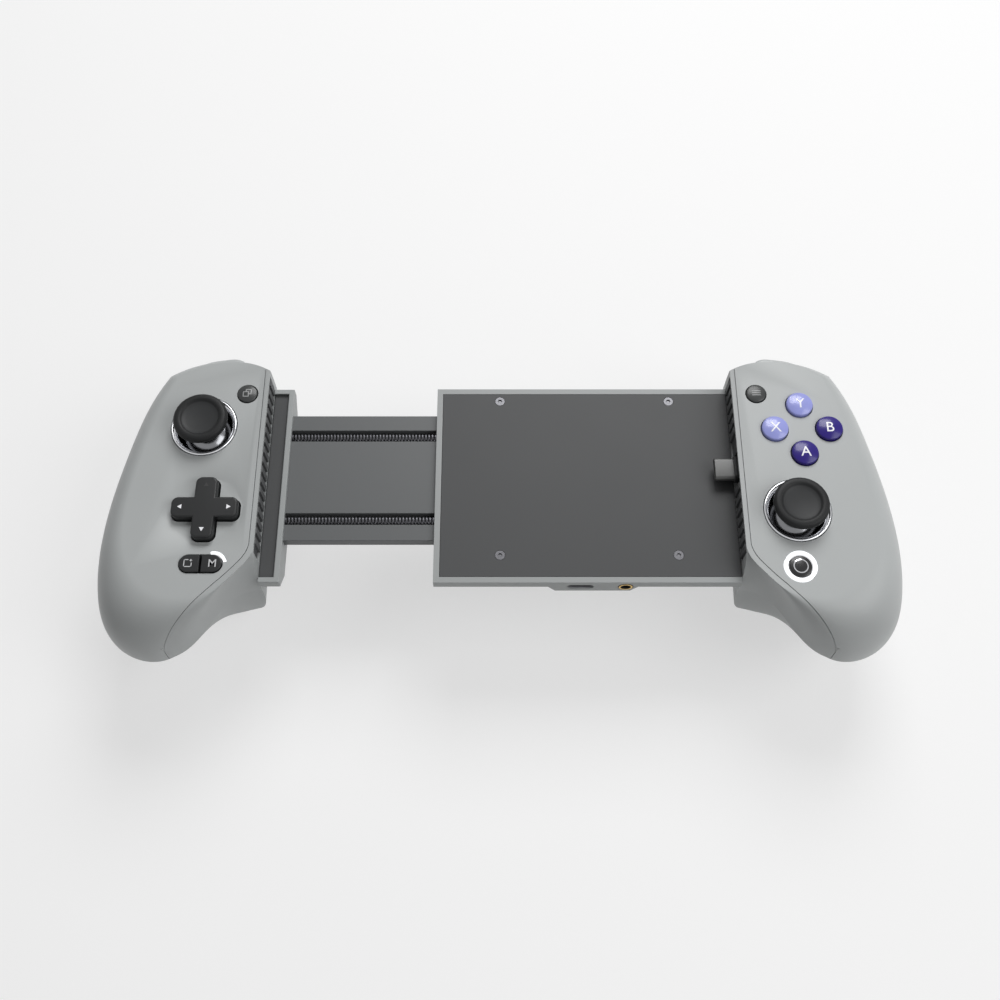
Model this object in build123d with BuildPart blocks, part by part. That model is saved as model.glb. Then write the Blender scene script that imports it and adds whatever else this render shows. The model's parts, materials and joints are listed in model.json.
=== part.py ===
from build123d import *
from math import asin, cos, radians, sin, sqrt
import os

os.makedirs("parts", exist_ok=True)

# A phone game controller: two handles on a telescoping bridge that holds a phone between them.
# Origin: middle of the phone's seat, on top of the bridge. +X right, +Y to the shoulder buttons, +Z up.

# Phone space
phone_gap = 160.7
wall_setback = 0.35
wall_x = phone_gap / 2 + wall_setback

# Grip bodies: u runs outward from the phone-side wall, v along the grip, both as shares of its size
grip_width = 54.9
grip_length = 105.6
face_height = 10.0
parting_height = -6.0
back_height = -44.0
droop_angle = 5.7
overrun = 1.0
front_depth = 28.0

face_outline_shares = {
    "lower": [(0, -0.292), (0.009, -0.314), (0.035, -0.340), (0.078, -0.367),
              (0.129, -0.396), (0.188, -0.426)],
    "outer": [(0.188, -0.426), (0.310, -0.453), (0.570, -0.440), (0.743, -0.341), (0.789, -0.180),
              (0.725, 0.047), (0.643, 0.218), (0.583, 0.300)],
    "shoulder": [(0.583, 0.300), (0.420, 0.352), (0.230, 0.371), (0, 0.338)],
}
parting_outline_shares = {
    "lower": [(0, -0.371), (0.115, -0.381), (0.206, -0.413), (0.290, -0.470),
              (0.386, -0.540), (0.506, -0.586)],
    "outer": [(0.506, -0.586), (0.639, -0.603), (0.889, -0.540), (0.996, -0.379), (0.987, -0.185),
              (0.885, 0.085), (0.756, 0.284), (0.679, 0.350)],
    "shoulder": [(0.679, 0.350), (0.470, 0.388), (0.240, 0.388), (0, 0.345)],
}
back_outline_shares = {
    "lower": [(0.300, -0.290), (0.309, -0.300), (0.338, -0.307), (0.375, -0.312), (0.425, -0.324),
              (0.480, -0.330)],
    "outer": [(0.480, -0.330), (0.550, -0.328), (0.640, -0.308), (0.682, -0.270), (0.690, -0.215),
              (0.672, -0.156), (0.625, -0.110), (0.570, -0.092)],
    "shoulder": [(0.570, -0.092), (0.500, -0.086), (0.390, -0.092), (0.300, -0.130)],
}
tuck_shares = {
    "lower": [0, 0, 0.3, 0.7, 1, 1],
    "outer": [1, 0.8, 0.5, 0.2, 0, 0, 0, 0],
    "shoulder": [0, 0, 0, 0],
}
tuck_power = 1.1
heart_shares = (0.50, -0.10)
front_level_shares = (0, 0.35, 0.65, 0.88, 1)
back_level_shares = (0, 0.40, 0.70, 0.90, 1)

# Walls and seams
plate_thickness = 2.0
deck_thickness = 2.4
shell_wall = 2.4
seam = 0.2
seam_margin = 1.7
seam_slant = 45.0
rib_lap = 1.4
cavity_inset = 3.0
cavity_share = 0.5
deck_height = face_height - plate_thickness
seat_height = deck_height - seam
deck_underside = seat_height - deck_thickness

# Pads that take the phone's ends
pad_pocket_depth = 1.5
pad_pocket_length = 66.0
pad_middle_y = 0.6
pad_base_thickness = 1.0
pad_low = 0.6
pad_high = 8.7
pad_clearance = 0.3
pad_gap = 1.1
tooth_pitch = 3.75
tooth_width = 2.2
comb_bare_length = 3.0

# Thumb sticks
stick_tilt_height = -3.5
dome_radius = 12.0
dome_wall = 1.1
dome_rim_angle = 47.0
dome_middle_angle = 31.0
cap_radius = 9.2
cap_top = 17.0
cap_widest = 15.4
cap_underside = 14.1
cap_rim_radius = 7.0
cap_rim_step = 0.6
cap_dish_radius = 6.1
cap_dish_depth = 1.2
neck_radius = 3.5
ring_outer_radius = 11.25
ring_inner_radius = 9.5
ring_proud = 0.5
ring_slope_radius = 10.6
ring_lip_depth = 2.1
ring_lip = 1.1
module_half = 7.2
module_wall = 1.0
module_height_over_pivot = 2.6
yoke_radius = 5.4
yoke_thickness = 1.0
yoke_width = 4.6
axle_radius = 1.1
running_clearance = 0.05
shaft_radius = 1.5
shaft_clearance = 0.25
click_travel = 0.4

# Shaft inside a thumb stick
shaft_socket_radius = 2.3
shaft_head_radius = 2.25
shaft_rise = 3.2
shaft_step_height = 3.4
ball_radius = 2.0
ball_seat_radius = 2.6
ball_seat_drop = 1.0
cap_edge_round = 0.9
module_floor = 0.8

# Direction pad
dpad_half_span = 11.0
dpad_arm_width = 7.3
dpad_corner = 2.2
dpad_proud = 3.0
dpad_dish_radius = 12.6
dpad_dish_depth = 0.3
dpad_dish_slope = 60.0
dpad_clearance = 0.45
dpad_base_height = 6.0
dpad_plunger_radius = 2.0
dpad_plunger_place = 7.6
rocker_radius = 3.4
rocker_tip_radius = 1.7
rocker_top = 5.4
rocker_thickness = 1.4
dpad_top_round = 0.7
dpad_room = 1.7
dpad_tab_top = 4.0
dpad_tab_thickness = 1.0
dpad_tab_width = 3.0
dpad_tab_reach = 12.2

# Buttons
button_clearance = 0.3
face_button_radius = 4.55
face_button_proud = 2.0
face_button_crown = 0.9
face_button_travel = 1.3
face_button_spacing = 9.3
menu_button_radius = 3.4
menu_button_proud = 0.9
menu_button_crown = 0.5
home_button_radius = 3.75
home_button_proud = 0.4
home_button_crown = 0.25
home_ring_radius = 5.4
home_ring_proud = 0.15
flange_lap = 0.7
flange_thickness = 1.1
plunger_radius = 2.4
dome_button_height = 1.4
small_travel = 0.4
capsule_length = 14.0
capsule_width = 6.1
capsule_gap = 0.6
capsule_proud = 0.7
capsule_round = 0.35
light_arc_width = 1.0
light_arc_gap = 0.35
light_arc_start = 10.0
light_arc_sweep = 95.0

# Places of the controls on a grip, as shares of its width and length
left_stick_shares = (0.379, 0.129)
right_stick_shares = (0.330, -0.170)
dpad_shares = (0.308, -0.170)
view_shares = (0.128, 0.249)
menu_shares = (0.151, 0.249)
capsule_shares = (0.304, -0.351)
face_pad_shares = (0.415, 0.118)
home_shares = (0.310, -0.359)
plate_magnet_shares = {-1: [(0.42, 0.29), (0.70, -0.10), (0.52, -0.36)],
                       1: [(0.13, 0.03), (0.68, -0.12), (0.56, -0.36)]}
magnet_radius = 2.5
magnet_thickness = 1.0

# Shoulder: the y that the bumpers and triggers are placed from
shoulder_share = 0.375
shoulder_y = shoulder_share * grip_length

# Boards
board_thickness = 1.6
board_top = -7.0
raised_board_top = -5.0
raised_board_drop = 9.6
raised_board_back = shoulder_y - raised_board_drop
raised_board_stick_gap = 0.3776
raised_board_pad_gap = 4.7392
raised_board_steps = {-1: left_stick_shares[1] * grip_length + module_half + raised_board_stick_gap,
                      1: face_pad_shares[1] * grip_length + raised_board_pad_gap}
board_inset = 3.8
board_cradle_gap = 1.9
board_clearance = 0.3
membrane_thickness = 1.0
membrane_inset = 4.8
membrane_taper = 12.0
spacer_width = 8.0
spacer_u = 17.4

# Bumpers: u of their top outline, and y from the shoulder
bumper_outer_places = [(10.7, 2.8), (13.1, 3.6), (17.4, 3.3), (22.6, 2.3), (27.7, -0.6), (31.1, -4.0)]
bumper_inner_places = [(30.7, -7.4), (27.6, -5.4), (22.6, -3.6), (16.6, -2.3), (10.7, -1.8)]
bumper_top = 6.2
bumper_bottom = -6.0
bumper_round = 1.4
bumper_press_room = 1.0
bumper_swing_share = 0.3
bumper_pin_radius = 0.9
bumper_pin_u = 12.9
bumper_pin_rise = 0.3

# Triggers: y from the shoulder and z of their side profile
trigger_low_u = 11.2
trigger_high_u = 31.0
trigger_pivot_offset = (-10.6, -13.5)
trigger_boss_radius = 3.6
trigger_pin_radius = 1.2
trigger_cheek = 1.9
trigger_front_offsets = [(1.8, -8.7), (5.3, -12.2), (7.3, -18.0), (7.5, -25.0), (6.9, -31.0), (7.8, -36.5),
                         (9.7, -40.4)]
trigger_lip_offset = (8.7, -41.7)
trigger_rear_offsets = [(6.6, -40.7), (4.8, -36.5), (4.3, -31.0), (4.8, -25.0), (4.5, -19.0), (2.6, -14.2),
                        (-0.2, -11.4)]
trigger_pocket_drop = 15.4
trigger_pocket_back = shoulder_y - trigger_pocket_drop
trigger_pocket_top = -8.1
trigger_pocket_bottom = -30.5
shoulder_block_wall = 2.4

# Rear buttons
rear_button_place = (5.6, -5.0, -35.0)
rear_button_lean = 26.0
rear_button_length = 22.0
rear_button_width = 9.0
rear_button_corner = 3.0
rear_button_round = 0.65
rear_button_proud = 1.3
rear_button_flange = 1.2
rear_button_depth = 4.6

# Bridge
bridge_left_end = -22.3
bridge_front = -39.8
bridge_back = 34.0
bridge_rim_height = 4.0
bridge_depth = 9.5
bridge_chamfer = 5.6
bridge_rim = 2.0
lid_thickness = 1.5
lid_clearance = 0.1
bulge_start = 15.3
bulge_end = 47.1
bulge_depth = 7.7
bulge_length = 11.0
bulge_chamfer = 3.2
bulge_top = 3.0
tray_end = -73.5
tray_lip = 1.2
slider_half_width = 24.0
slider_thickness = 4.0
slider_right_end = 24.0
slider_lug_length = 6.0
slider_lug_depth = 1.0
slider_clearance = 0.2
slider_stop_x = -6.6
slider_room_end = 77.2
spring_radius = 1.7
spring_bore_radius = 1.1
spring_place_y = 16.0
spring_anchor_x = 76.4
spring_groove_width = 4.2

# Ports
charge_port_x = 26.9
charge_port_width = 9.0
charge_port_height = 3.2
charge_port_length = 7.4
charge_port_wall = 0.35
charge_tongue_thickness = 0.7
port_height = -4.1
jack_x = 42.1
jack_bore_radius = 1.75
jack_collar_radius = 2.7
jack_body_width = 6.2
jack_body_height = 4.2
jack_length = 12.0

# Phone plug on its rocking cradle
cradle_half_width = 4.4
cradle_half_height = 2.5
cradle_corner = 1.25
cradle_back_u = 7.4
cradle_front_u = -0.6
cradle_pivot_u = 5.0
plug_height = 3.95
plug_pin_radius = 0.75
plug_width = 8.3
plug_thickness = 2.5
plug_reach = 6.6
plug_root = 3.3
plug_round = 0.3
plug_wall = 0.6
cradle_lug_thickness = 2.0
cradle_swing_room = 0.7

# Screws
screw_radius = 0.9
screw_head_radius = 1.7
screw_head_height = 1.2
shell_screw_length = 12.0
shell_screw_seat = -13.0
board_screw_length = 6.0
bridge_screw_length = 5.0
bridge_screw_head_height = 0.9
post_radius = 2.6
shell_post_radius = 3.4
socket_radius = 0.75
shell_screw_shares = [(0.583, 0.0), (0.565, -0.294)]
board_screw_shares = [(0.204, -0.014)]
bridge_screw_places = [(0.0, -30.0), (60.0, -30.0), (0.0, 29.0), (60.0, 29.0)]


def mix(low, high, share):
    """The value a share of the way from low to high."""
    return low + (high - low) * share


def crown(share):
    """How far a rounded side has drawn in, at a share of its height."""
    return 1 - sqrt(1 - share**2)


def crown_middle(radius, edge_height, middle_height):
    """Middle point of a round crown's profile, from its edge at the radius to the turning axis."""
    rise = middle_height - edge_height
    ball_radius = (radius**2 + rise**2) / (2 * rise)
    half_angle = asin(radius / abs(ball_radius)) / 2
    return abs(ball_radius) * sin(half_angle), middle_height - ball_radius * (1 - cos(half_angle))


def grip_place(side, shares):
    """X and Y of a place on a grip, given as shares of its width and length."""
    return side * (wall_x + shares[0] * grip_width), shares[1] * grip_length


def from_shoulder(offset):
    """The y and z of an offset that is counted from the shoulder's y."""
    return (shoulder_y + offset[0], offset[1])


def level_plane(height, angle):
    """A plane that leans down toward the handles' tips by the angle."""
    lean = radians(angle)
    return Plane(origin=(0, 0, height), x_dir=(1, 0, 0), z_dir=(0, -sin(lean), cos(lean)))


def turning_plane(place):
    """An upright plane through a place, for profiles turned about the vertical there."""
    return Plane(origin=(place[0], place[1], 0), x_dir=(1, 0, 0), z_dir=(0, -1, 0))


def upright(place):
    """The vertical axis through a place."""
    return Axis((place[0], place[1], 0), (0, 0, 1))


def facing_up(sketch):
    """The sketch's face, turned so that an extrusion of it rises."""
    face = sketch.face()
    return face if face.normal_at().Z > 0 else -face


def grip_outline(side, near, far, share, inset=0, wall_inset=0, tucked_share=None):
    """A closed grip outline between two given ones, drawn in toward the grip's heart.

    The tucked share, if given, is how far the underside of the handle's tip has drawn in.
    """
    heart = Vector(heart_shares[0] * grip_width, heart_shares[1] * grip_length)
    tucked = share if tucked_share is None else tucked_share

    def row(name, pull):
        points = []
        for low, high, tuck in zip(near[name], far[name], tuck_shares[name]):
            drawn = mix(share, tucked, tuck)
            point = Vector(mix(low[0], high[0], drawn) * grip_width,
                           mix(low[1], high[1], drawn) * grip_length)
            point = point + (heart - point).normalized() * pull
            points.append((side * (wall_x + point.X), point.Y))
        return points

    outer = row("outer", inset)
    lower = row("lower", wall_inset)[:-1] + [outer[0]]
    shoulder = [outer[-1]] + row("shoulder", inset)[1:-1] + row("shoulder", wall_inset)[-1:]
    with BuildSketch() as outline:
        with BuildLine():
            Line(shoulder[-1], lower[0])
            Spline(*lower)
            Spline(*outer)
            Spline(*shoulder)
        make_face()
    return facing_up(outline.sketch)


def grip_half(side, far, far_height, levels, inset=0, wall_inset=0, power=None):
    """One half of a grip, from the parting plane to its face or its back."""
    with BuildPart() as half:
        for level in levels:
            height = mix(parting_height, far_height, level)
            tucked_share = None if power is None else level**power
            with BuildSketch(level_plane(height, droop_angle * (1 - level))):
                add(grip_outline(side, parting_outline_shares, far, crown(level), inset, wall_inset,
                                 tucked_share))
        loft()
    return half.part


def seam_region(side, margin):
    """Plan of what lies outboard of the seam that follows the phone-side edge and the crease."""
    drop = margin * sin(radians(seam_slant))
    points = [(u * grip_width + margin, v * grip_length + drop) for u, v in face_outline_shares["lower"]]
    tip = parting_outline_shares["lower"][-1]
    tip_place = (tip[0] * grip_width + margin, tip[1] * grip_length)
    far_u = 2 * grip_width
    far_y = grip_length
    corners = [tip_place, (tip_place[0], -far_y), (far_u, -far_y), (far_u, far_y), (margin, far_y), points[0]]
    crease = [(side * (wall_x + u), y) for u, y in points]
    surround = [(side * (wall_x + u), y) for u, y in corners]
    with BuildSketch() as region:
        with BuildLine():
            Spline(*crease)
            Polyline(crease[-1], *surround)
        make_face()
    return facing_up(region.sketch)


def dome_top_at(side, place):
    """Height of the membrane's dome under a button at the place."""
    board = raised_board_top if place[1] > raised_board_steps[side] else board_top
    return board + membrane_thickness + dome_button_height


def bumper_outline(side, room=0):
    """Plan of a bumper, or with room behind it, of its pocket."""
    outer = [(side * (wall_x + u), shoulder_y + y) for u, y in bumper_outer_places]
    inner = [(side * (wall_x + u), shoulder_y + y - room) for u, y in bumper_inner_places]
    pin_end_x = outer[0][0] - side * bumper_swing_share * room
    with BuildSketch() as outline:
        with BuildLine():
            Spline(*outer)
            Line(outer[-1], inner[0])
            Spline(*inner)
            if room:
                Polyline(inner[-1], (pin_end_x, inner[-1][1]), (pin_end_x, outer[0][1]), outer[0])
            else:
                Line(inner[-1], outer[0])
        make_face()
    return facing_up(outline.sketch)


def cross_outline(half_span, arm_width, corner):
    """The plan of a direction pad."""
    with BuildSketch() as cross:
        RectangleRounded(2 * half_span, arm_width, corner)
        RectangleRounded(arm_width, 2 * half_span, corner)
    return cross.sketch


def capsule_half_outline(side, growth=0):
    """One of the two short buttons that share a capsule, round at its outboard end."""
    with BuildSketch() as outline:
        SlotOverall(capsule_length + 2 * growth, capsule_width + 2 * growth)
        with Locations((side * (capsule_gap / 2 - capsule_length), 0)):
            Rectangle(2 * capsule_length, 2 * capsule_width, mode=Mode.SUBTRACT)
    return facing_up(outline.sketch)


def light_arc_outline(growth=0):
    """The lit arc that hugs the inboard end of the capsule."""
    inner = capsule_width / 2 + light_arc_gap - growth
    outer = inner + light_arc_width + 2 * growth
    start = light_arc_start
    end = start + light_arc_sweep
    with BuildSketch() as arc:
        with BuildLine():
            CenterArc((0, 0), inner, start, light_arc_sweep)
            CenterArc((0, 0), outer, start, light_arc_sweep)
            Line((inner * cos(radians(start)), inner * sin(radians(start))),
                 (outer * cos(radians(start)), outer * sin(radians(start))))
            Line((inner * cos(radians(end)), inner * sin(radians(end))),
                 (outer * cos(radians(end)), outer * sin(radians(end))))
        make_face()
    return facing_up(arc.sketch)


# Places of the controls
left_stick_place = grip_place(-1, left_stick_shares)
right_stick_place = grip_place(1, right_stick_shares)
stick_places = {-1: left_stick_place, 1: right_stick_place}
dpad_place = grip_place(-1, dpad_shares)
view_place = grip_place(-1, view_shares)
menu_place = grip_place(1, menu_shares)
capsule_place = grip_place(-1, capsule_shares)
home_place = grip_place(1, home_shares)
pad_x, pad_y = grip_place(1, face_pad_shares)
face_button_places = {
    "button_a": (pad_x, pad_y - face_button_spacing),
    "button_b": (pad_x + face_button_spacing, pad_y),
    "button_x": (pad_x - face_button_spacing, pad_y),
    "button_y": (pad_x, pad_y + face_button_spacing),
}
trigger_pivot = from_shoulder(trigger_pivot_offset)
trigger_front_places = [from_shoulder(offset) for offset in trigger_front_offsets]
trigger_lip_place = from_shoulder(trigger_lip_offset)
trigger_rear_places = [from_shoulder(offset) for offset in trigger_rear_offsets]
light_place = (capsule_place[0] + (capsule_length - capsule_width) / 2, capsule_place[1])
round_buttons = {
    -1: [("view_button", view_place, menu_button_radius)],
    1: [("menu_button", menu_place, menu_button_radius), ("home_button", home_place, home_button_radius)]
       + [(name, place, face_button_radius) for name, place in face_button_places.items()],
}
side_names = {-1: "left", 1: "right"}
shell_screw_places = {}
board_screw_places = {}
for side in side_names:
    shell_screw_places[side] = [grip_place(side, shares) for shares in shell_screw_shares]
    board_screw_places[side] = [grip_place(side, shares) for shares in board_screw_shares]
plate_magnet_places = {}
for side in side_names:
    plate_magnet_places[side] = [grip_place(side, shares) for shares in plate_magnet_shares[side]]
rear_button_planes = {}
for side in side_names:
    lean = radians(rear_button_lean)
    rear_button_planes[side] = Plane(
        origin=(side * (wall_x + rear_button_place[0]), rear_button_place[1], rear_button_place[2]),
        x_dir=(side * sin(lean), 0, -cos(lean)), z_dir=(-side * cos(lean), 0, -sin(lean)))

def plate_space(side, clearance):
    """The skin of a grip's front that lifts off, or with clearance, the space left for it in the frame."""
    core = grip_half(side, face_outline_shares, deck_height - clearance, front_level_shares,
                     plate_thickness + clearance, rib_lap)
    with BuildPart() as space:
        add(front_halves[side])
        add(core, mode=Mode.SUBTRACT)
        with BuildSketch(Plane.XY.offset(face_height + overrun)):
            add(seam_region(side, seam_margin - clearance))
        extrude(amount=-front_depth - overrun, mode=Mode.INTERSECT)
    return space.part.solids().sort_by(SortBy.VOLUME)[-1]


# The two front halves, made once and shared by the pieces that are cut from them
front_halves = {}
for side in side_names:
    front_halves[side] = grip_half(side, face_outline_shares, face_height, front_level_shares)

# Faceplates, lifted off by hand
for side, side_name in side_names.items():
    with BuildPart() as faceplate:
        add(plate_space(side, 0))
        with BuildSketch(level_plane(parting_height, droop_angle)):
            Rectangle(2 * phone_gap + 4 * grip_width, 4 * grip_length)
        extrude(amount=seam, mode=Mode.SUBTRACT)
        with BuildSketch(Plane.XY.offset(bumper_top + seam)):
            add(bumper_outline(side, bumper_press_room))
        extrude(amount=-front_depth, mode=Mode.SUBTRACT)
        with BuildSketch(Plane.XY.offset(deck_height - overrun)):
            with Locations(stick_places[side]):
                Circle(ring_outer_radius + seam)
            for name, place, radius in round_buttons[side]:
                with Locations(place):
                    Circle(home_ring_radius + seam if name == "home_button" else radius + button_clearance)
            if side < 0:
                with Locations(dpad_place):
                    add(cross_outline(dpad_half_span + dpad_clearance, dpad_arm_width + 2 * dpad_clearance,
                                      dpad_corner + dpad_clearance))
                with Locations(capsule_place):
                    SlotOverall(capsule_length + 2 * button_clearance, capsule_width + 2 * button_clearance)
                with Locations(light_place):
                    add(light_arc_outline(seam))
        extrude(amount=plate_thickness + 2 * overrun, mode=Mode.SUBTRACT)
        if side < 0:
            with BuildSketch(Plane.XY.offset(face_height - dpad_dish_depth)):
                with Locations(dpad_place):
                    Circle(dpad_dish_radius)
            extrude(amount=dpad_dish_depth + overrun, taper=-dpad_dish_slope, mode=Mode.SUBTRACT)
        with BuildSketch(Plane.XY.offset(deck_height - overrun)):
            with Locations(*plate_magnet_places[side]):
                Circle(magnet_radius + running_clearance)
        extrude(amount=magnet_thickness + seam + overrun, mode=Mode.SUBTRACT)
    faceplate.part.label = side_name + "_faceplate"
    export_step(faceplate.part, "parts/" + side_name + "_faceplate.step")

# Magnets that hold the faceplates down
for side, side_name in side_names.items():
    with BuildPart() as magnets:
        with BuildSketch(Plane.XY.offset(deck_height + seam)):
            with Locations(*plate_magnet_places[side]):
                Circle(magnet_radius)
        extrude(amount=magnet_thickness)
    magnets.part.label = side_name + "_plate_magnets"
    export_step(magnets.part, "parts/" + side_name + "_plate_magnets.step")

# Front frames: the deck under a faceplate, the phone-side wall and the bevelled crease below it
for side, side_name in side_names.items():
    with BuildPart() as frame:
        add(front_halves[side])
        add(plate_space(side, seam), mode=Mode.SUBTRACT)
        # Room for the boards and modules under the deck
        with BuildSketch(Plane.XY.offset(deck_underside)):
            add(grip_outline(side, parting_outline_shares, face_outline_shares, cavity_share, cavity_inset,
                             cavity_inset))
            with Locations((side * wall_x, 0)):
                Rectangle(2 * (pad_pocket_depth + shell_wall), 4 * grip_length, mode=Mode.SUBTRACT)
        extrude(amount=-front_depth, mode=Mode.SUBTRACT)
        with BuildSketch(Plane.XY.offset(deck_underside)):
            for name, place, radius in round_buttons[side]:
                with Locations(place):
                    Circle(radius + flange_lap + button_clearance)
            if side < 0:
                with Locations(capsule_place):
                    SlotOverall(capsule_length + 2 * (flange_lap + button_clearance),
                                capsule_width + 2 * (flange_lap + button_clearance))
        extrude(amount=-front_depth, mode=Mode.SUBTRACT)
        # Posts that the boards are screwed to
        with BuildSketch(Plane.XY.offset(board_top)):
            with Locations(*shell_screw_places[side], *board_screw_places[side]):
                Circle(post_radius)
        extrude(amount=deck_underside - board_top + rib_lap)
        with BuildSketch(Plane.XY.offset(board_top - overrun)):
            with Locations(*shell_screw_places[side], *board_screw_places[side]):
                Circle(screw_radius)
        extrude(amount=shell_screw_length - screw_head_height, mode=Mode.SUBTRACT)
        # Pocket of the phone pad
        with BuildSketch(Plane.XY.offset(pad_low - pad_clearance)):
            with Locations((side * wall_x, pad_middle_y)):
                Rectangle(2 * pad_pocket_depth, pad_pocket_length + 2 * pad_clearance)
        extrude(amount=pad_high - pad_low + 2 * pad_clearance, mode=Mode.SUBTRACT)
        # Pocket of the bumper
        with BuildSketch(Plane.XY.offset(bumper_top + seam)):
            add(bumper_outline(side, bumper_press_room))
        extrude(amount=-front_depth, mode=Mode.SUBTRACT)
        # Openings in the deck
        with BuildSketch(Plane.XY.offset(deck_underside - overrun)):
            with Locations(stick_places[side]):
                Circle(ring_inner_radius + ring_lip)
            for name, place, radius in round_buttons[side]:
                with Locations(place):
                    Circle(radius + button_clearance)
            if side < 0:
                with Locations(dpad_place):
                    add(cross_outline(dpad_half_span + dpad_clearance, dpad_arm_width + 2 * dpad_clearance,
                                      dpad_corner + dpad_clearance))
                with Locations(capsule_place):
                    SlotOverall(capsule_length + 2 * button_clearance, capsule_width + 2 * button_clearance)
        extrude(amount=deck_thickness + 2 * overrun, mode=Mode.SUBTRACT)
        if side > 0:
            # Window and lugs of the rocking plug
            with BuildSketch(Plane.XY.offset(pad_low - pad_clearance)):
                with Locations((wall_x + (cradle_back_u + cradle_swing_room) / 2, 0)):
                    Rectangle(cradle_back_u + cradle_swing_room, 2 * (cradle_half_width + pad_clearance))
            extrude(amount=pad_high - pad_low + 2 * pad_clearance, mode=Mode.SUBTRACT)
            lug_y = cradle_half_width + pad_clearance + cradle_lug_thickness / 2
            with BuildSketch(Plane.XY.offset(plug_height - cradle_half_height)):
                with Locations((wall_x + cradle_pivot_u, lug_y), (wall_x + cradle_pivot_u, -lug_y)):
                    Rectangle(2 * plug_pin_radius + 2 * cradle_lug_thickness, cradle_lug_thickness)
            extrude(amount=deck_height - plug_height)
            with BuildSketch(Plane(origin=(wall_x + cradle_pivot_u, 0, plug_height), z_dir=(0, 1, 0))):
                Circle(plug_pin_radius)
            extrude(amount=lug_y + cradle_lug_thickness, both=True, mode=Mode.SUBTRACT)
    frame.part.label = side_name + "_front_frame"
    export_step(frame.part, "parts/" + side_name + "_front_frame.step")

# Rear shells, with the boxes that the trigger and the bumper sit in
for side, side_name in side_names.items():
    back_half = grip_half(side, back_outline_shares, back_height, back_level_shares, power=tuck_power)
    hollow = grip_half(side, back_outline_shares, back_height + shell_wall, back_level_shares, shell_wall,
                       shell_wall, tuck_power)
    block_low_u = trigger_low_u - seam - shoulder_block_wall
    block_high_u = trigger_high_u + seam + shoulder_block_wall
    block_middle_x = side * (wall_x + (block_low_u + block_high_u) / 2)
    with BuildPart() as shoulder_box:
        add(back_half)
        with BuildSketch(Plane.XY.offset(trigger_pocket_bottom - shoulder_block_wall)):
            with Locations((block_middle_x, trigger_pocket_back - shoulder_block_wall + grip_length / 2)):
                Rectangle(block_high_u - block_low_u, grip_length)
        extrude(amount=-trigger_pocket_bottom + shoulder_block_wall, mode=Mode.INTERSECT)
    with BuildPart() as posts:
        add(back_half)
        with BuildSketch(Plane.XY.offset(back_height)):
            with Locations(*shell_screw_places[side]):
                Circle(shell_post_radius)
        extrude(amount=board_top - board_thickness - back_height, mode=Mode.INTERSECT)
    with BuildPart() as shell:
        add(back_half)
        add(hollow, mode=Mode.SUBTRACT)
        add(shoulder_box.part)
        with BuildSketch(Plane.XY.offset(bumper_bottom - seam)):
            add(bumper_outline(side, bumper_press_room))
        extrude(amount=bumper_top - bumper_bottom, mode=Mode.SUBTRACT)
        with BuildSketch(Plane.XY.offset(trigger_pocket_bottom)):
            with Locations((block_middle_x, trigger_pocket_back + grip_length / 2)):
                Rectangle(trigger_high_u - trigger_low_u + 2 * seam, grip_length)
        extrude(amount=trigger_pocket_top - trigger_pocket_bottom, mode=Mode.SUBTRACT)
        with BuildSketch(Plane(origin=(block_middle_x, *trigger_pivot), z_dir=(1, 0, 0))):
            Circle(trigger_pin_radius)
        extrude(amount=(block_high_u - block_low_u) / 2 - overrun, both=True, mode=Mode.SUBTRACT)
        # Room for the raised part of the board above the trigger
        with BuildSketch(Plane.XY.offset(raised_board_top - board_thickness - board_clearance)):
            add(grip_outline(side, parting_outline_shares, face_outline_shares, cavity_share, cavity_inset,
                             cavity_inset))
        extrude(amount=grip_width, mode=Mode.SUBTRACT)
        # Posts under the board, with wells for the screws
        add(posts.part)
        with BuildSketch(Plane.XY.offset(shell_screw_seat)):
            with Locations(*shell_screw_places[side]):
                Circle(screw_head_radius + board_clearance)
        extrude(amount=back_height - shell_screw_seat - overrun, mode=Mode.SUBTRACT)
        with BuildSketch(Plane.XY.offset(shell_screw_seat - overrun)):
            with Locations(*shell_screw_places[side]):
                Circle(screw_radius)
        extrude(amount=shell_screw_length, mode=Mode.SUBTRACT)
        # Window of the rear button
        with BuildSketch(rear_button_planes[side]):
            RectangleRounded(rear_button_width + 2 * button_clearance,
                             rear_button_length + 2 * button_clearance, rear_button_corner)
        extrude(amount=rear_button_depth, both=True, mode=Mode.SUBTRACT)
    shell.part.label = side_name + "_rear_shell"
    export_step(shell.part, "parts/" + side_name + "_rear_shell.step")

# Bumpers, each swinging on an upright pin at its phone-side end
for side, side_name in side_names.items():
    pin_x = side * (wall_x + bumper_pin_u)
    with BuildPart() as bumper:
        with BuildSketch(Plane.XY.offset(bumper_bottom)):
            add(bumper_outline(side))
        extrude(amount=bumper_top - bumper_bottom)
        top_edges = bumper.faces().sort_by(Axis.Z)[-1].edges()
        fillet(top_edges.sort_by(SortBy.LENGTH)[-1], radius=bumper_round)
        with BuildSketch(Plane.XY.offset(bumper_bottom - overrun)):
            with Locations((pin_x, shoulder_y + bumper_pin_rise)):
                Circle(bumper_pin_radius + running_clearance)
        extrude(amount=bumper_top - bumper_bottom, mode=Mode.SUBTRACT)
    bumper.part.label = side_name + "_bumper"
    export_step(bumper.part, "parts/" + side_name + "_bumper.step")

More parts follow.
